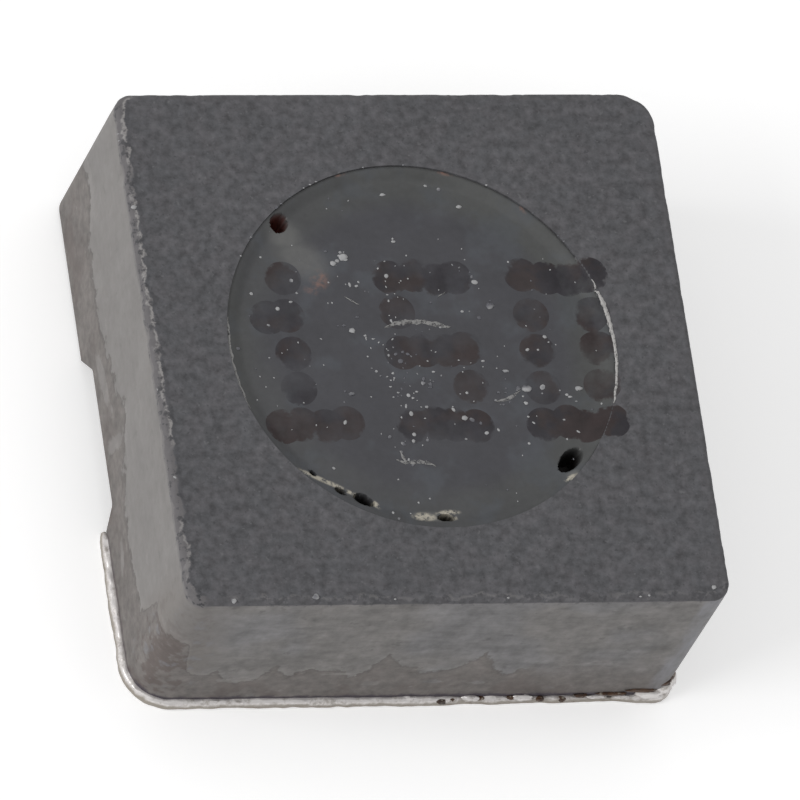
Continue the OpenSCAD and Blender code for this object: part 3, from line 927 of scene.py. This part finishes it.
def bead_levels(s, front, half_x, seed, weight=1.0):
    """Loops of the tinned bead round the foot at -Y, as far out as half_x. The front one is
    thinner on its right half."""
    ring = bpy.context.scene.inductor.ring
    outline = np.array(rounded_square(HALF, corner_radii(ring, FOOT_Z)))
    outline = outline[np.argsort(np.arctan2(outline[:, 0], -outline[:, 1]))]
    near = (outline[:, 1] < -HALF + s.side_run / MM) & (abs(outline[:, 0]) <= half_x)
    at, path, ahead = along(outline[near], lambda run: np.arange(0, run, 0.02))
    height, thick = s.bead_h / MM, s.bead_t / MM
    sides = 14
    levels = []
    for d, (x, y), (ax, ay) in zip(at, path, ahead):
        ox, oy = ay, -ax
        taper = min(1, 0.5 + d / 0.16, 0.5 + (at[-1] - d) / 0.16)
        bulk = 1 + 0.22 * noise.noise(Vector((d * 2.3, seed, 0)))
        bulk += 0.16 * noise.noise(Vector((d * 7, seed, 4)))
        if y < -HALF + 0.02 and front:
            bulk *= float(np.interp(x, (0.2, 0.5, 1.3, 1.55, 1.95, 2.15), (1, 0.8, 0.78, 0.6, 0.55, 1)))
            bulk += 0.25 * noise.noise(Vector((d * 4.5, seed, 9))) * fade(x, 0.2, 0.5)
        bulk = max(0.42, bulk) * weight * taper
        loop = []
        for k in range(sides):
            a = 2 * math.pi * k / sides
            across, up = (math.copysign(abs(v) ** 0.65, v) for v in (math.cos(a), -math.sin(a)))
            ripple = 1 + 0.12 * noise.noise(Vector((d * 12, across * 1.4 + seed, up * 1.4)))
            z = height * bulk * (0.5 + 0.5 * up) * ripple
            out = thick * min(bulk, 1.2) * (0.34 + 0.6 * across - 0.2 * up) * ripple
            loop.append((x + ox * out, y + oy * out, max(z, 0)))
        levels.append(loop)
    return levels


def pad_outline(s, half_x, grow):
    """The pad under a foot at -Y, anticlockwise, with the bore's arc and the lead's notch."""
    ring = bpy.context.scene.inductor.ring
    inner_y = -HALF + s.pad / MM
    radii = [r + grow for r in corner_radii(ring, FOOT_Z)]
    edge = [p for p in rounded_square(HALF + grow, radii, spacing=0.06)
            if p[1] < inner_y and abs(p[0]) <= half_x + 2 * grow]
    edge.sort(key=lambda p: math.atan2(p[0], -p[1]))
    angle = math.degrees(math.atan2(-inner_y, math.sqrt(BORE_R ** 2 - inner_y ** 2)))
    bore = arc(0, 0, BORE_R, -angle, -180 + angle, 48)
    groove, half_w = ring.groove_x / MM, ring.groove_w / MM / 2
    right, left = groove + half_w, groove - half_w
    stop = -HALF + ring.groove_wall / MM
    notch = [(right, -math.sqrt(BORE_R ** 2 - right ** 2)), (right, stop),
             (left, stop), (left, -math.sqrt(BORE_R ** 2 - left ** 2))]
    inner = [p for p in bore if p[0] > right] + notch + [p for p in bore if p[0] < left]
    side = half_x + (grow if half_x > HALF - 0.01 else 0)
    return [(-side, inner_y), *edge, (side, inner_y), *inner]


def gather(name, parts):
    """One mesh from several lists of points and faces."""
    points, faces = [], []
    for some_points, some_faces in parts:
        faces += [tuple(i + len(points) for i in face) for face in some_faces]
        points += some_points
    return make_mesh(name, points, faces)


class INDUCTOR_OT_plating(bpy.types.Operator):
    """Makes the tinned plating under both feet and the bead round the front foot"""
    bl_idname = "inductor.plating"
    bl_label = "Tinned plating"

    def execute(self, context):
        s = context.scene.inductor.metal
        tin = tin_finish(s)
        inset = HALF - s.back_inset / MM
        for name, node, half_x, turn, seed, weight in (
                ("front_plating", "front_terminal", HALF, 1, 2.0, 1.0),
                ("back_plating", "back_terminal", inset, -1, 9.0, 0.7)):
            outline = pad_outline(s, half_x, 0.012)
            points, faces = stack([[(x * turn, y * turn, z) for x, y in outline]
                                   for z in (0.002, s.plate_t / MM)])
            levels = bead_levels(s, turn > 0, half_x, seed, weight)
            levels = [[(x * turn, y * turn, z) for x, y, z in loop] for loop in levels]
            mesh = gather(name, [(points, faces), stack(levels)])
            smooth(mesh, 50)
            piece(name, mesh, tin, "plating", node)
        return {"FINISHED"}


def softened(node, name, voxel, push, seed):
    """A rounded, slightly lumpy copy of a CAD node."""
    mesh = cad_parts[node].data.copy()
    thing = loose(name, mesh)
    weld = thing.modifiers.new("weld", "WELD")
    weld.merge_threshold = 1e-7
    remesh = thing.modifiers.new("remesh", "REMESH")
    remesh.mode, remesh.voxel_size = "VOXEL", voxel * MM
    ease = thing.modifiers.new("ease", "SMOOTH")
    ease.factor, ease.iterations = 0.5, 5
    result = evaluated(thing, name)
    points = points_of(result)
    normals = np.zeros(len(points) * 3)
    result.vertex_normals.foreach_get("vector", normals)
    lumps = np.array([noise.fractal(Vector(p) * 5 + Vector((seed, 0, 0)), 0.8, 2, 3) for p in points])
    put_points(result, points + normals.reshape(-1, 3) * lumps[:, None] * push)
    smooth(result, 80)
    return result


class INDUCTOR_OT_solder(bpy.types.Operator):
    """Makes the reflowed solder in both lead grooves"""
    bl_idname = "inductor.solder"
    bl_label = "Solder"

    def execute(self, context):
        finish = solder_finish(context.scene.inductor.metal)
        for seed, (name, node) in enumerate((("front_solder_fillet", "front_solder"),
                                             ("back_solder_fillet", "back_solder"))):
            piece(name, softened(node, name, 0.014, 0.006, seed * 7.3), finish, "solder", node)
        return {"FINISHED"}


class INDUCTOR_OT_core(bpy.types.Operator):
    """Gives the winding its enamel and the drum its ground ferrite"""
    bl_idname = "inductor.core"
    bl_label = "Winding and drum"

    def execute(self, context):
        s = context.scene.inductor.metal
        for node, finish in (("winding", enamel_finish(s)), ("drum_core", drum_finish(s))):
            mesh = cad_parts[node].data
            mesh.materials.clear()
            mesh.materials.append(finish)
        return {"FINISHED"}


def lump(at, size, seed, steps=3):
    """A small irregular lump: at and size in millimetres."""
    bm = bmesh.new()
    bmesh.ops.create_icosphere(bm, subdivisions=steps, radius=1)
    for v in bm.verts:
        v.co *= 1 + 0.35 * noise.fractal(v.co * 1.6 + Vector((seed, seed * 0.7, 0)), 0.8, 2, 3)
    points = [tuple(a + c * k for a, c, k in zip(at, v.co, size)) for v in bm.verts]
    faces = [tuple(v.index for v in face.verts) for face in bm.faces]
    bm.free()
    return points, faces


# Lumps along the front bead: x, distance in from its face, z, then three half sizes
FLUX_LUMPS = ((0.36, -0.015, 0.05, 0.05, 0.03, 0.035), (0.45, -0.01, 0.06, 0.03, 0.02, 0.025),
              (1.26, -0.01, 0.06, 0.035, 0.025, 0.025), (1.46, -0.01, 0.05, 0.04, 0.025, 0.03),
              (1.62, 0, 0.1, 0.06, 0.02, 0.02), (1.9, 0, 0.12, 0.14, 0.018, 0.018),
              (2.16, 0.01, 0.17, 0.14, 0.018, 0.024), (2.35, 0.05, 0.25, 0.07, 0.03, 0.04),
              (2.41, 0.09, 0.3, 0.03, 0.04, 0.07), (1.0, 0, 0.07, 0.05, 0.02, 0.02),
              (0.72, 0, 0.06, 0.04, 0.02, 0.02))
TIN_LUMPS = ((2.24, 0, 0.1, 0.12, 0.035, 0.055), (2.36, 0.05, 0.14, 0.1, 0.05, 0.07),
             (2.44, 0.12, 0.17, 0.05, 0.08, 0.08), (1.78, 0, 0.06, 0.09, 0.02, 0.03),
             (2.02, 0, 0.05, 0.1, 0.02, 0.03), (1.1, 0, 0.07, 0.1, 0.03, 0.035),
             (0.62, 0, 0.07, 0.08, 0.03, 0.03), (0.05, 0, 0.07, 0.08, 0.03, 0.03))


class INDUCTOR_OT_residue(bpy.types.Operator):
    """Makes the brown flux lumps beside the front bead and the lifted tin at the right corner"""
    bl_idname = "inductor.residue"
    bl_label = "Flux residue"

    def execute(self, context):
        flux = residue_finish(context.scene.inductor.metal)
        face = -HALF - 0.012
        for name, rows, first, gap, finish, slot in (
                ("flux_residue", FLUX_LUMPS, 0, 3.1, flux, "resin"),
                ("lifted_tin", TIN_LUMPS, 50, 2.3, bpy.data.materials["tinned_silver"], "plating")):
            mesh = gather(name, [lump((x, face + back, z), size, first + i * gap)
                                 for i, (x, back, z, *size) in enumerate(rows)])
            smooth(mesh, 80)
            piece(name, mesh, finish, slot)
        return {"FINISHED"}


# ---------------------------------------------------------------- what repeats

def scatter_tree(name, inputs, build):
    """A Geometry Nodes tree with inputs (name: kind of value), filled by build."""
    group = bpy.data.node_groups.new(name, "GeometryNodeTree")
    group.interface.new_socket("Geometry", in_out="INPUT", socket_type="NodeSocketGeometry")
    group.interface.new_socket("Geometry", in_out="OUTPUT", socket_type="NodeSocketGeometry")
    for key, kind in inputs.items():
        group.interface.new_socket(key, in_out="INPUT", socket_type="NodeSocket" + kind)
    tree = Tree(group)
    entry = group.nodes.new("NodeGroupInput")
    sockets = {key: Value(tree, entry.outputs[key]) for key in inputs}
    result = build(tree, Value(tree, entry.outputs["Geometry"]), sockets)
    tree.node("NodeGroupOutput", None, {"Geometry": result})
    return group


def run_tree(name, base, group, inputs):
    """The plain mesh that a Geometry Nodes tree makes from a base mesh."""
    thing = loose(name, base)
    modifier = thing.modifiers.new(name, "NODES")
    modifier.node_group = group
    for item in group.interface.items_tree:
        if item.in_out == "INPUT" and item.name in inputs:
            modifier[item.identifier] = inputs[item.name]
    return evaluated(thing, name)


def finished(tree, geometry, given):
    """Real geometry with its material, as every tree ends."""
    solid = tree.node("GeometryNodeRealizeInstances", None, {"Geometry": geometry})
    return tree.node("GeometryNodeSetMaterial", None, {"Geometry": solid, "Material": given["Material"]})


def print_tree():
    """A sheet of ink round the points of a mesh, with the share of a dot's radius that each
    place is away from the nearest point."""
    def build(tree, points, given):
        sheet = tree.node("GeometryNodeMeshGrid", None,
                          {"Size X": given["Width"], "Size Y": given["Depth"],
                           "Vertices X": given["Columns"], "Vertices Y": given["Rows"]})
        nearest = tree.node("GeometryNodeProximity", {"target_element": "POINTS"}, {0: points}, "Distance")
        out = nearest / given["Radius"]
        sheet = tree.node("GeometryNodeStoreNamedAttribute", {"data_type": "FLOAT", "domain": "POINT"},
                          {"Geometry": sheet, "Name": "out", "Value": out})
        sheet = tree.node("GeometryNodeDeleteGeometry", {"domain": "POINT"},
                          {"Geometry": sheet, "Selection": out.math("GREATER_THAN", out, 1.3)})
        return finished(tree, sheet, given)
    return scatter_tree("printed_dots", {"Radius": "Float", "Width": "Float", "Depth": "Float",
                                         "Columns": "Int", "Rows": "Int", "Material": "Material"}, build)


def flecks_tree():
    """Flattened flecks scattered over a surface, most of them small."""
    def build(tree, surface, given):
        thin = tree.node("GeometryNodeInputNamedAttribute", {"data_type": "FLOAT"}, {"Name": "thin"})
        points = tree.node("GeometryNodeDistributePointsOnFaces", {"distribute_method": "RANDOM"},
                           {"Mesh": surface, "Density": given["Density"] * thin, "Seed": given["Seed"]})
        fleck = tree.node("GeometryNodeMeshIcoSphere", None, {"Radius": given["Radius"], "Subdivisions": 2})
        small = tree.node("FunctionNodeRandomValue", {"data_type": "FLOAT"}, {2: 0.0, 3: 1.0, "Seed": 5}, 1)
        size = (small ** 4) * 0.68 + 0.3
        uneven_and_shaded = tree.node("FunctionNodeRandomValue", {"data_type": "FLOAT_VECTOR"},
                           {0: (0.6, 0.5, 0.2), 1: (1.3, 1.0, 0.4), "Seed": 8}, 0)
        uneven_and_shaded = tree.node("ShaderNodeVectorMath", {"operation": "SCALE"}, {0: uneven_and_shaded, "Scale": size})
        turn = tree.node("FunctionNodeRandomValue", {"data_type": "FLOAT_VECTOR"},
                         {0: (0, 0, 0), 1: (0, 0, 6.28), "Seed": 9}, 0)
        turn = tree.node("FunctionNodeEulerToRotation", None, {0: turn})
        flecks = tree.node("GeometryNodeInstanceOnPoints", None,
                           {"Points": points, "Instance": fleck, "Scale": uneven_and_shaded, "Rotation": turn})
        return finished(tree, flecks, given)
    return scatter_tree("flecks", {"Radius": "Float", "Density": "Float", "Seed": "Int",
                                   "Material": "Material"}, build)


def top_height(settings, x, y):
    """Height of the inductor's top at a point, the resin or the ring."""
    r = math.hypot(x, y)
    return TOP if r > BORE_R - 0.002 else resin_top(settings.resin, x, y)


GLYPHS = {"0": ("1111", "1001", "1001", "1001", "1111"), "1": ("0100", "1100", "0100", "0100", "1111"),
          "5": ("1111", "1000", "1111", "0001", "1111")}


class INDUCTOR_OT_ink(bpy.types.Operator):
    """Prints the generic value in dots of ink across the resin"""
    bl_idname = "inductor.ink"
    bl_label = "Printed value"

    def execute(self, context):
        settings = context.scene.inductor
        s = settings.ink
        rng = np.random.default_rng(s.seed)
        centres = []
        for place, digit in enumerate(s.value):
            middle = (place - (len(s.value) - 1) / 2) * s.advance / MM + 0.12
            for row, line in enumerate(GLYPHS[digit]):
                for column, inked in enumerate(line):
                    if inked == "1":
                        dx, dy = rng.uniform(-1, 1, 2) * s.jitter / MM
                        centres.append((middle + (column - 1.5) * s.column / MM + dx,
                                        (2 - row) * s.row / MM - 0.03 + dy, 0))
        base = make_mesh("ink_places", centres, [])
        wide, deep, step = 2 * HALF - 0.6, 5.6 * s.row / MM, 0.016
        inputs = {"Radius": s.dot / 2, "Width": wide * MM, "Depth": deep * MM,
                  "Columns": int(wide / step), "Rows": int(deep / step),
                  "Material": ink_finish(s, settings)}
        mesh = run_tree("printed_value", base, print_tree(), inputs)
        points = points_of(mesh)
        for i, (x, y, z) in enumerate(points):
            near = min(math.hypot(x - cx, y - cy) for cx, cy, _ in centres) * 2 * MM / s.dot
            points[i][2] = top_height(settings, x, y) + 0.0018 - 0.0038 * fade(near, 0.75, 1.25)
        put_points(mesh, points)
        sheet = loose("printed_value", mesh)
        solid = sheet.modifiers.new("thickness", "SOLIDIFY")
        solid.thickness, solid.offset = 0.0015 * MM, -1
        mesh = evaluated(sheet, "printed_value")
        mesh.shade_smooth()
        piece("printed_value", mesh, inputs["Material"], "resin")
        return {"FINISHED"}


# Flecks that stand out: x, y, radius, seed of the shape; the one at -2.42, 1.35 on the left top edge is a
# painted highlight
FLECKS = ((0.91, -0.4, 0.045, 1), (1.38, -0.4, 0.035, 2), (0.69, 0.4, 0.035, 3), (-0.13, 1.49, 0.026, 4),
          (0.55, 1.37, 0.026, 5), (0.3, -0.68, 0.028, 6), (0.74, -0.23, 0.03, 7), (-0.1, 1.03, 0.02, 8),
          (-0.58, 0.88, 0.04, 9), (-0.68, 0.82, 0.028, 10), (-1.31, -2.4, 0.032, 11),
          (-2.05, -2.43, 0.024, 12), (2.3, -2.35, 0.022, 16), (1.62, -2.43, 0.012, 17),
          (1.7, -2.42, 0.012, 18), (0.42, -2.43, 0.012, 19), (-0.6, -2.43, 0.01, 20),
          (-2.42, 1.35, 0.028, 13), (-0.69, -0.44, 0.03, 14), (-0.6, 0.17, 0.028, 15))
# Clusters of small flecks: x, y, spread, count
CLUSTERS = ((-0.6, 0.86, 0.07, 7), (0.78, -0.46, 0.09, 8), (-0.4, -0.3, 0.14, 9), (1.27, -0.48, 0.04, 3),
            (-0.6, 0.2, 0.09, 6), (0.05, -0.32, 0.06, 6), (-0.1, -0.5, 0.12, 5))
FLECK_POINTS = 42                      # points of an icosphere with two subdivisions


def fleck_middles(points):
    """For each point of scattered flecks, the middle of its own fleck."""
    return np.repeat(points.reshape(-1, FLECK_POINTS, 3).mean(1), FLECK_POINTS, axis=0)


def dust_field():
    """A grid over the resin that says how thick the dust lies."""
    count, reach = 35, 1.7
    places = np.linspace(-reach, reach, count)
    grid = [(x, y) for x in places for y in places]
    faces = [(i * count + j, (i + 1) * count + j, (i + 1) * count + j + 1, i * count + j + 1)
             for i in range(count - 1) for j in range(count - 1)]
    base = make_mesh("dust_field", [(x, y, 0) for x, y in grid], faces)
    store(base, "thin", [math.exp(-((x + 0.1) ** 2 / 1.1 + (y + 0.05) ** 2 / 1.0))
                         * (0.25 + 1.5 * fade(noise.noise(Vector((x * 2.2, y * 2.2, 8))), -0.05, 0.35))
                         if math.hypot(x, y) < 1.68 else 0 for x, y in grid])
    return base


def edge_field():
    """A strip along the left top edge that says how thick the bruises lie."""
    count = 44
    strip = [(x, y) for x in (-HALF - 0.005, -HALF + 0.05) for y in np.linspace(-2.1, 2.2, count)]
    faces = [(count + j, count + j + 1, j + 1, j) for j in range(count - 1)]
    base = make_mesh("edge_field", [(x, y, 0) for x, y in strip], faces)
    store(base, "thin", [0.35 + 0.65 * fade(noise.noise(Vector((0, y * 1.8, 2))), -0.1, 0.3)
                         for x, y in strip])
    return base


class INDUCTOR_OT_dust(bpy.types.Operator):
    """Scatters dust over the resin and along the bruised left edge"""
    bl_idname = "inductor.dust"
    bl_label = "Dust"

    def execute(self, context):
        settings = context.scene.inductor
        s = settings.dust
        finish = dust_finish(s)
        group = flecks_tree()
        inputs = {"Radius": s.fleck, "Density": s.density / MM ** 2, "Seed": s.seed, "Material": finish}
        mesh = run_tree("resin_dust", dust_field(), group, inputs)
        points = points_of(mesh)
        for point, middle in zip(points, fleck_middles(points)):
            point[2] += top_height(settings, *middle[:2]) + 0.002
        marks = list(FLECKS)
        rng = np.random.default_rng(s.seed)
        for x, y, spread, count in CLUSTERS:
            marks += [(x + rng.normal(0, spread), y + rng.normal(0, spread * 0.7),
                       rng.uniform(0.009, 0.02), i) for i in range(count)]
        rim = BORE_R + 0.003
        marks += [(rim * math.cos(a), rim * math.sin(a), rng.uniform(0.007, 0.014), 3)
                  for a in rng.uniform(0.5, 2.7, 16)]
        parts = [lump((x, y, top_height(settings, x, y) + 0.003),
                      (r, r * rng.uniform(0.5, 1), r * 0.3), seed * 1.7, 2)
                 for x, y, r, seed in marks]
        parts.insert(0, ([tuple(p) for p in points], [tuple(f.vertices) for f in mesh.polygons]))
        mesh = gather("dust_flecks", parts)
        smooth(mesh, 80)
        piece("dust_flecks", mesh, finish, "resin")

        inputs = {"Radius": s.fleck * 0.75, "Density": s.edge_density / 0.055 / MM ** 2,
                  "Seed": s.seed + 1, "Material": finish}
        mesh = run_tree("edge_bruises", edge_field(), group, inputs)
        points = points_of(mesh)
        for point, middle in zip(points, fleck_middles(points)):
            across = (middle[0] + HALF) / 0.05
            point[2] = point[2] + TOP - 0.05 + 0.045 * min(max(across, 0), 1)
        put_points(mesh, points)
        smooth(mesh, 80)
        piece("edge_bruises", mesh, finish, "ferrite")
        return {"FINISHED"}


# Cross-section of a scratch: place across, in widths, and height, in heights
RIBBON = ((-0.5, 0), (-0.25, 0.8), (0.25, 1), (0.5, 0), (0.25, -0.6), (-0.25, -0.6))


def scratch_ribbon(settings, path, width, seed):
    """A thin raised line over the top along a path of x, y points."""
    height = 0.006
    at, line, ahead = along(path, lambda run: np.linspace(0, run, max(8, int(run / 0.012))))
    levels = []
    for d, (x, y), (ax, ay) in zip(at, line, ahead):
        sway = 0.012 * noise.noise(Vector((d * 14, seed, 0)))
        x, y = x - ay * sway, y + ax * sway
        taper = min(1, 0.25 + 8 * min(d, at[-1] - d))
        wide = 1.5 * width * (0.55 + 0.6 * abs(noise.noise(Vector((d * 20, seed, 2))))) * taper
        z = top_height(settings, x, y)
        levels.append([(x - ay * wide * u, y + ax * wide * u, z + 0.002 + height * v) for u, v in RIBBON])
    return stack([level[::-1] for level in levels])


def rim_line(out, *degrees):
    """Points along the bore's edge, a distance out from it, at the angles of a range."""
    r = BORE_R + out
    return [(r * math.cos(math.radians(a)), r * math.sin(math.radians(a))) for a in range(*degrees)]


class INDUCTOR_OT_scratches(bpy.types.Operator):
    """Makes the scratches in the resin and the painted highlight along its right rim"""
    bl_idname = "inductor.scratches"
    bl_label = "Scratches"

    def execute(self, context):
        settings = context.scene.inductor
        # the ribbons along the right rim carry the painted highlight of the bore's edge
        rim, back = rim_line(0.004, 21, -23, -4), rim_line(-0.012, 170, 205, 5)
        lines = [(rim, 0.024), (rim[1:9], 0.026), (rim[1:5], 0.034), (back, 0.022), (back[1:5], 0.024),
                 ([(-0.3, 0.2), (-0.2, 0.235), (-0.05, 0.25), (0.12, 0.245), (0.3, 0.2)], 0.04),
                 ([(-0.38, -1.08), (-0.3, -1.1), (-0.18, -1.1), (-0.1, -1.1), (-0.03, -1.14)], 0.034),
                 ([(-0.33, -0.99), (-0.31, -1.06), (-0.3, -1.12)], 0.034),
                 ([(0.6, -0.52), (0.72, -0.5), (0.84, -0.42)], 0.03),
                 ([(0.22, 0.48), (0.3, 0.54)], 0.02), ([(-0.62, 0.5), (-0.5, 0.42)], 0.02)]
        mesh = gather("scratches", [scratch_ribbon(settings, path, width, i * 2.9)
                                    for i, (path, width) in enumerate(lines)])
        smooth(mesh, 80)
        piece("scratches", mesh, scratch_finish(settings.dust), "resin")
        return {"FINISHED"}


# ---------------------------------------------------------------- stage

def lamp(name, level, place, size):
    """A soft square lamp aimed at the inductor, whose level is the share of white it gives."""
    data = bpy.data.lights.new(name, "AREA")
    data.shape, data.size = "SQUARE", size
    place = Vector(place)
    data.energy = level * math.pi ** 2 * place.length_squared
    thing = bpy.data.objects.new(name, data)
    thing.location = place
    thing.rotation_euler = (-place).to_track_quat("-Z", "Y").to_euler()
    bpy.context.scene.collection.objects.link(thing)


def floor_finish(s):
    """Pale paper that glows a little where it is seen and lets light through from below."""
    f = Finish("pale_floor")
    paper = f.node("ShaderNodeBsdfDiffuse", None, {"Color": s.floor})
    glow = f.node("ShaderNodeEmission", None, {"Color": (1, 1, 1), "Strength": 0.32})
    lit = f.node("ShaderNodeAddShader", None, {0: paper, 1: glow})
    camera, glossy, through = (f.node("ShaderNodeLightPath", output=ray) for ray in (
        "Is Camera Ray", "Is Glossy Ray", "Is Transmission Ray"))
    seen = camera.most(glossy).most(through)
    cover = f.node("ShaderNodeMixShader", None, {0: seen, 1: paper, 2: lit})
    under = f.node("ShaderNodeNewGeometry", output="Backfacing")
    open_floor = f.node("ShaderNodeBsdfTransparent")
    cover = f.node("ShaderNodeMixShader", None, {0: under, 1: cover, 2: open_floor})
    f.node("ShaderNodeOutputMaterial", None, {"Surface": cover})
    return f.material


def even_light(s):
    """A world that is white to the camera and lights the inductor evenly at the sky's level."""
    world = bpy.data.worlds.new("even_light")
    world.use_nodes = True
    tree = Tree(world.node_tree)
    world.node_tree.nodes.clear()
    seen = tree.node("ShaderNodeLightPath", output="Is Camera Ray")
    level = seen * (1 - s.sky) + s.sky
    sky = tree.node("ShaderNodeBackground", None, {"Color": (1, 1, 1), "Strength": level})
    tree.node("ShaderNodeOutputWorld", None, {"Surface": sky})
    return world


# The camera's place in metres, and its sideways and upward directions
CAMERA_PLACE = (-0.047022, -0.065509, 0.134663)
CAMERA_RIGHT = Vector((0.953385, -0.139013, 0.26783))
CAMERA_UP = Vector((0.006693, 0.897091, 0.441796))


def aimed_camera(s):
    """The camera, from above the front left corner."""
    data = bpy.data.cameras.new("camera")
    data.lens, data.sensor_width = s.lens, 36
    data.clip_start, data.clip_end = 0.01, 10
    camera = bpy.data.objects.new("camera", data)
    axes = Matrix((CAMERA_RIGHT, CAMERA_UP, CAMERA_RIGHT.cross(CAMERA_UP))).transposed()
    camera.matrix_world = Matrix.Translation(CAMERA_PLACE) @ axes.to_4x4()
    return camera


class INDUCTOR_OT_stage(bpy.types.Operator):
    """Sets the pale floor, the soft lights and the camera"""
    bl_idname = "inductor.stage"
    bl_label = "Stage"

    def execute(self, context):
        scene, s = context.scene, context.scene.inductor.stage
        wide, low = 900, -0.01
        floor = make_mesh("floor", [(-wide, -wide, low), (wide, -wide, low), (wide, wide, low),
                                    (-wide, wide, low)], [(0, 1, 2, 3)])
        floor.materials.append(floor_finish(s))
        loose("floor", floor)
        scene.world = even_light(s)
        lamp("key", s.key, (-0.09, -0.012, 0.06), 0.06)
        lamp("fill", s.fill, (0.01, 0.02, 0.11), 0.08)
        camera = aimed_camera(s)
        scene.collection.objects.link(camera)
        scene.camera = camera
        scene.view_settings.view_transform = "Standard"
        return {"FINISHED"}


class INDUCTOR_PT_sidebar(bpy.types.Panel):
    """The inductor's pieces and settings"""
    bl_idname = "INDUCTOR_PT_sidebar"
    bl_label = "Shielded inductor"
    bl_space_type = "VIEW_3D"
    bl_region_type = "UI"
    bl_category = "Inductor"

    def draw(self, context):
        settings = context.scene.inductor
        for operator in PIECES:
            self.layout.operator(operator.bl_idname)
        for group in ("ring", "resin", "metal", "ink", "dust", "stage"):
            box = self.layout.box()
            box.label(text=group.capitalize())
            values = getattr(settings, group)
            for key in values.__annotations__:
                box.prop(values, key)


PIECES = (INDUCTOR_OT_stage, INDUCTOR_OT_ring, INDUCTOR_OT_resin, INDUCTOR_OT_plating,
          INDUCTOR_OT_solder, INDUCTOR_OT_core, INDUCTOR_OT_residue, INDUCTOR_OT_ink,
          INDUCTOR_OT_dust, INDUCTOR_OT_scratches)
CLASSES = (RingSettings, ResinSettings, MetalSettings, InkSettings, DustSettings, StageSettings,
           InductorSettings, *PIECES, INDUCTOR_PT_sidebar)


def register():
    for cls in CLASSES:
        bpy.utils.register_class(cls)
    bpy.types.Scene.inductor = PointerProperty(type=InductorSettings)


def unregister():
    del bpy.types.Scene.inductor
    for cls in reversed(CLASSES):
        bpy.utils.unregister_class(cls)


def main():
    register()
    for operator in PIECES:
        group, name = operator.bl_idname.split(".")
        getattr(getattr(bpy.ops, group), name)()


if __name__ == "__main__":
    main()
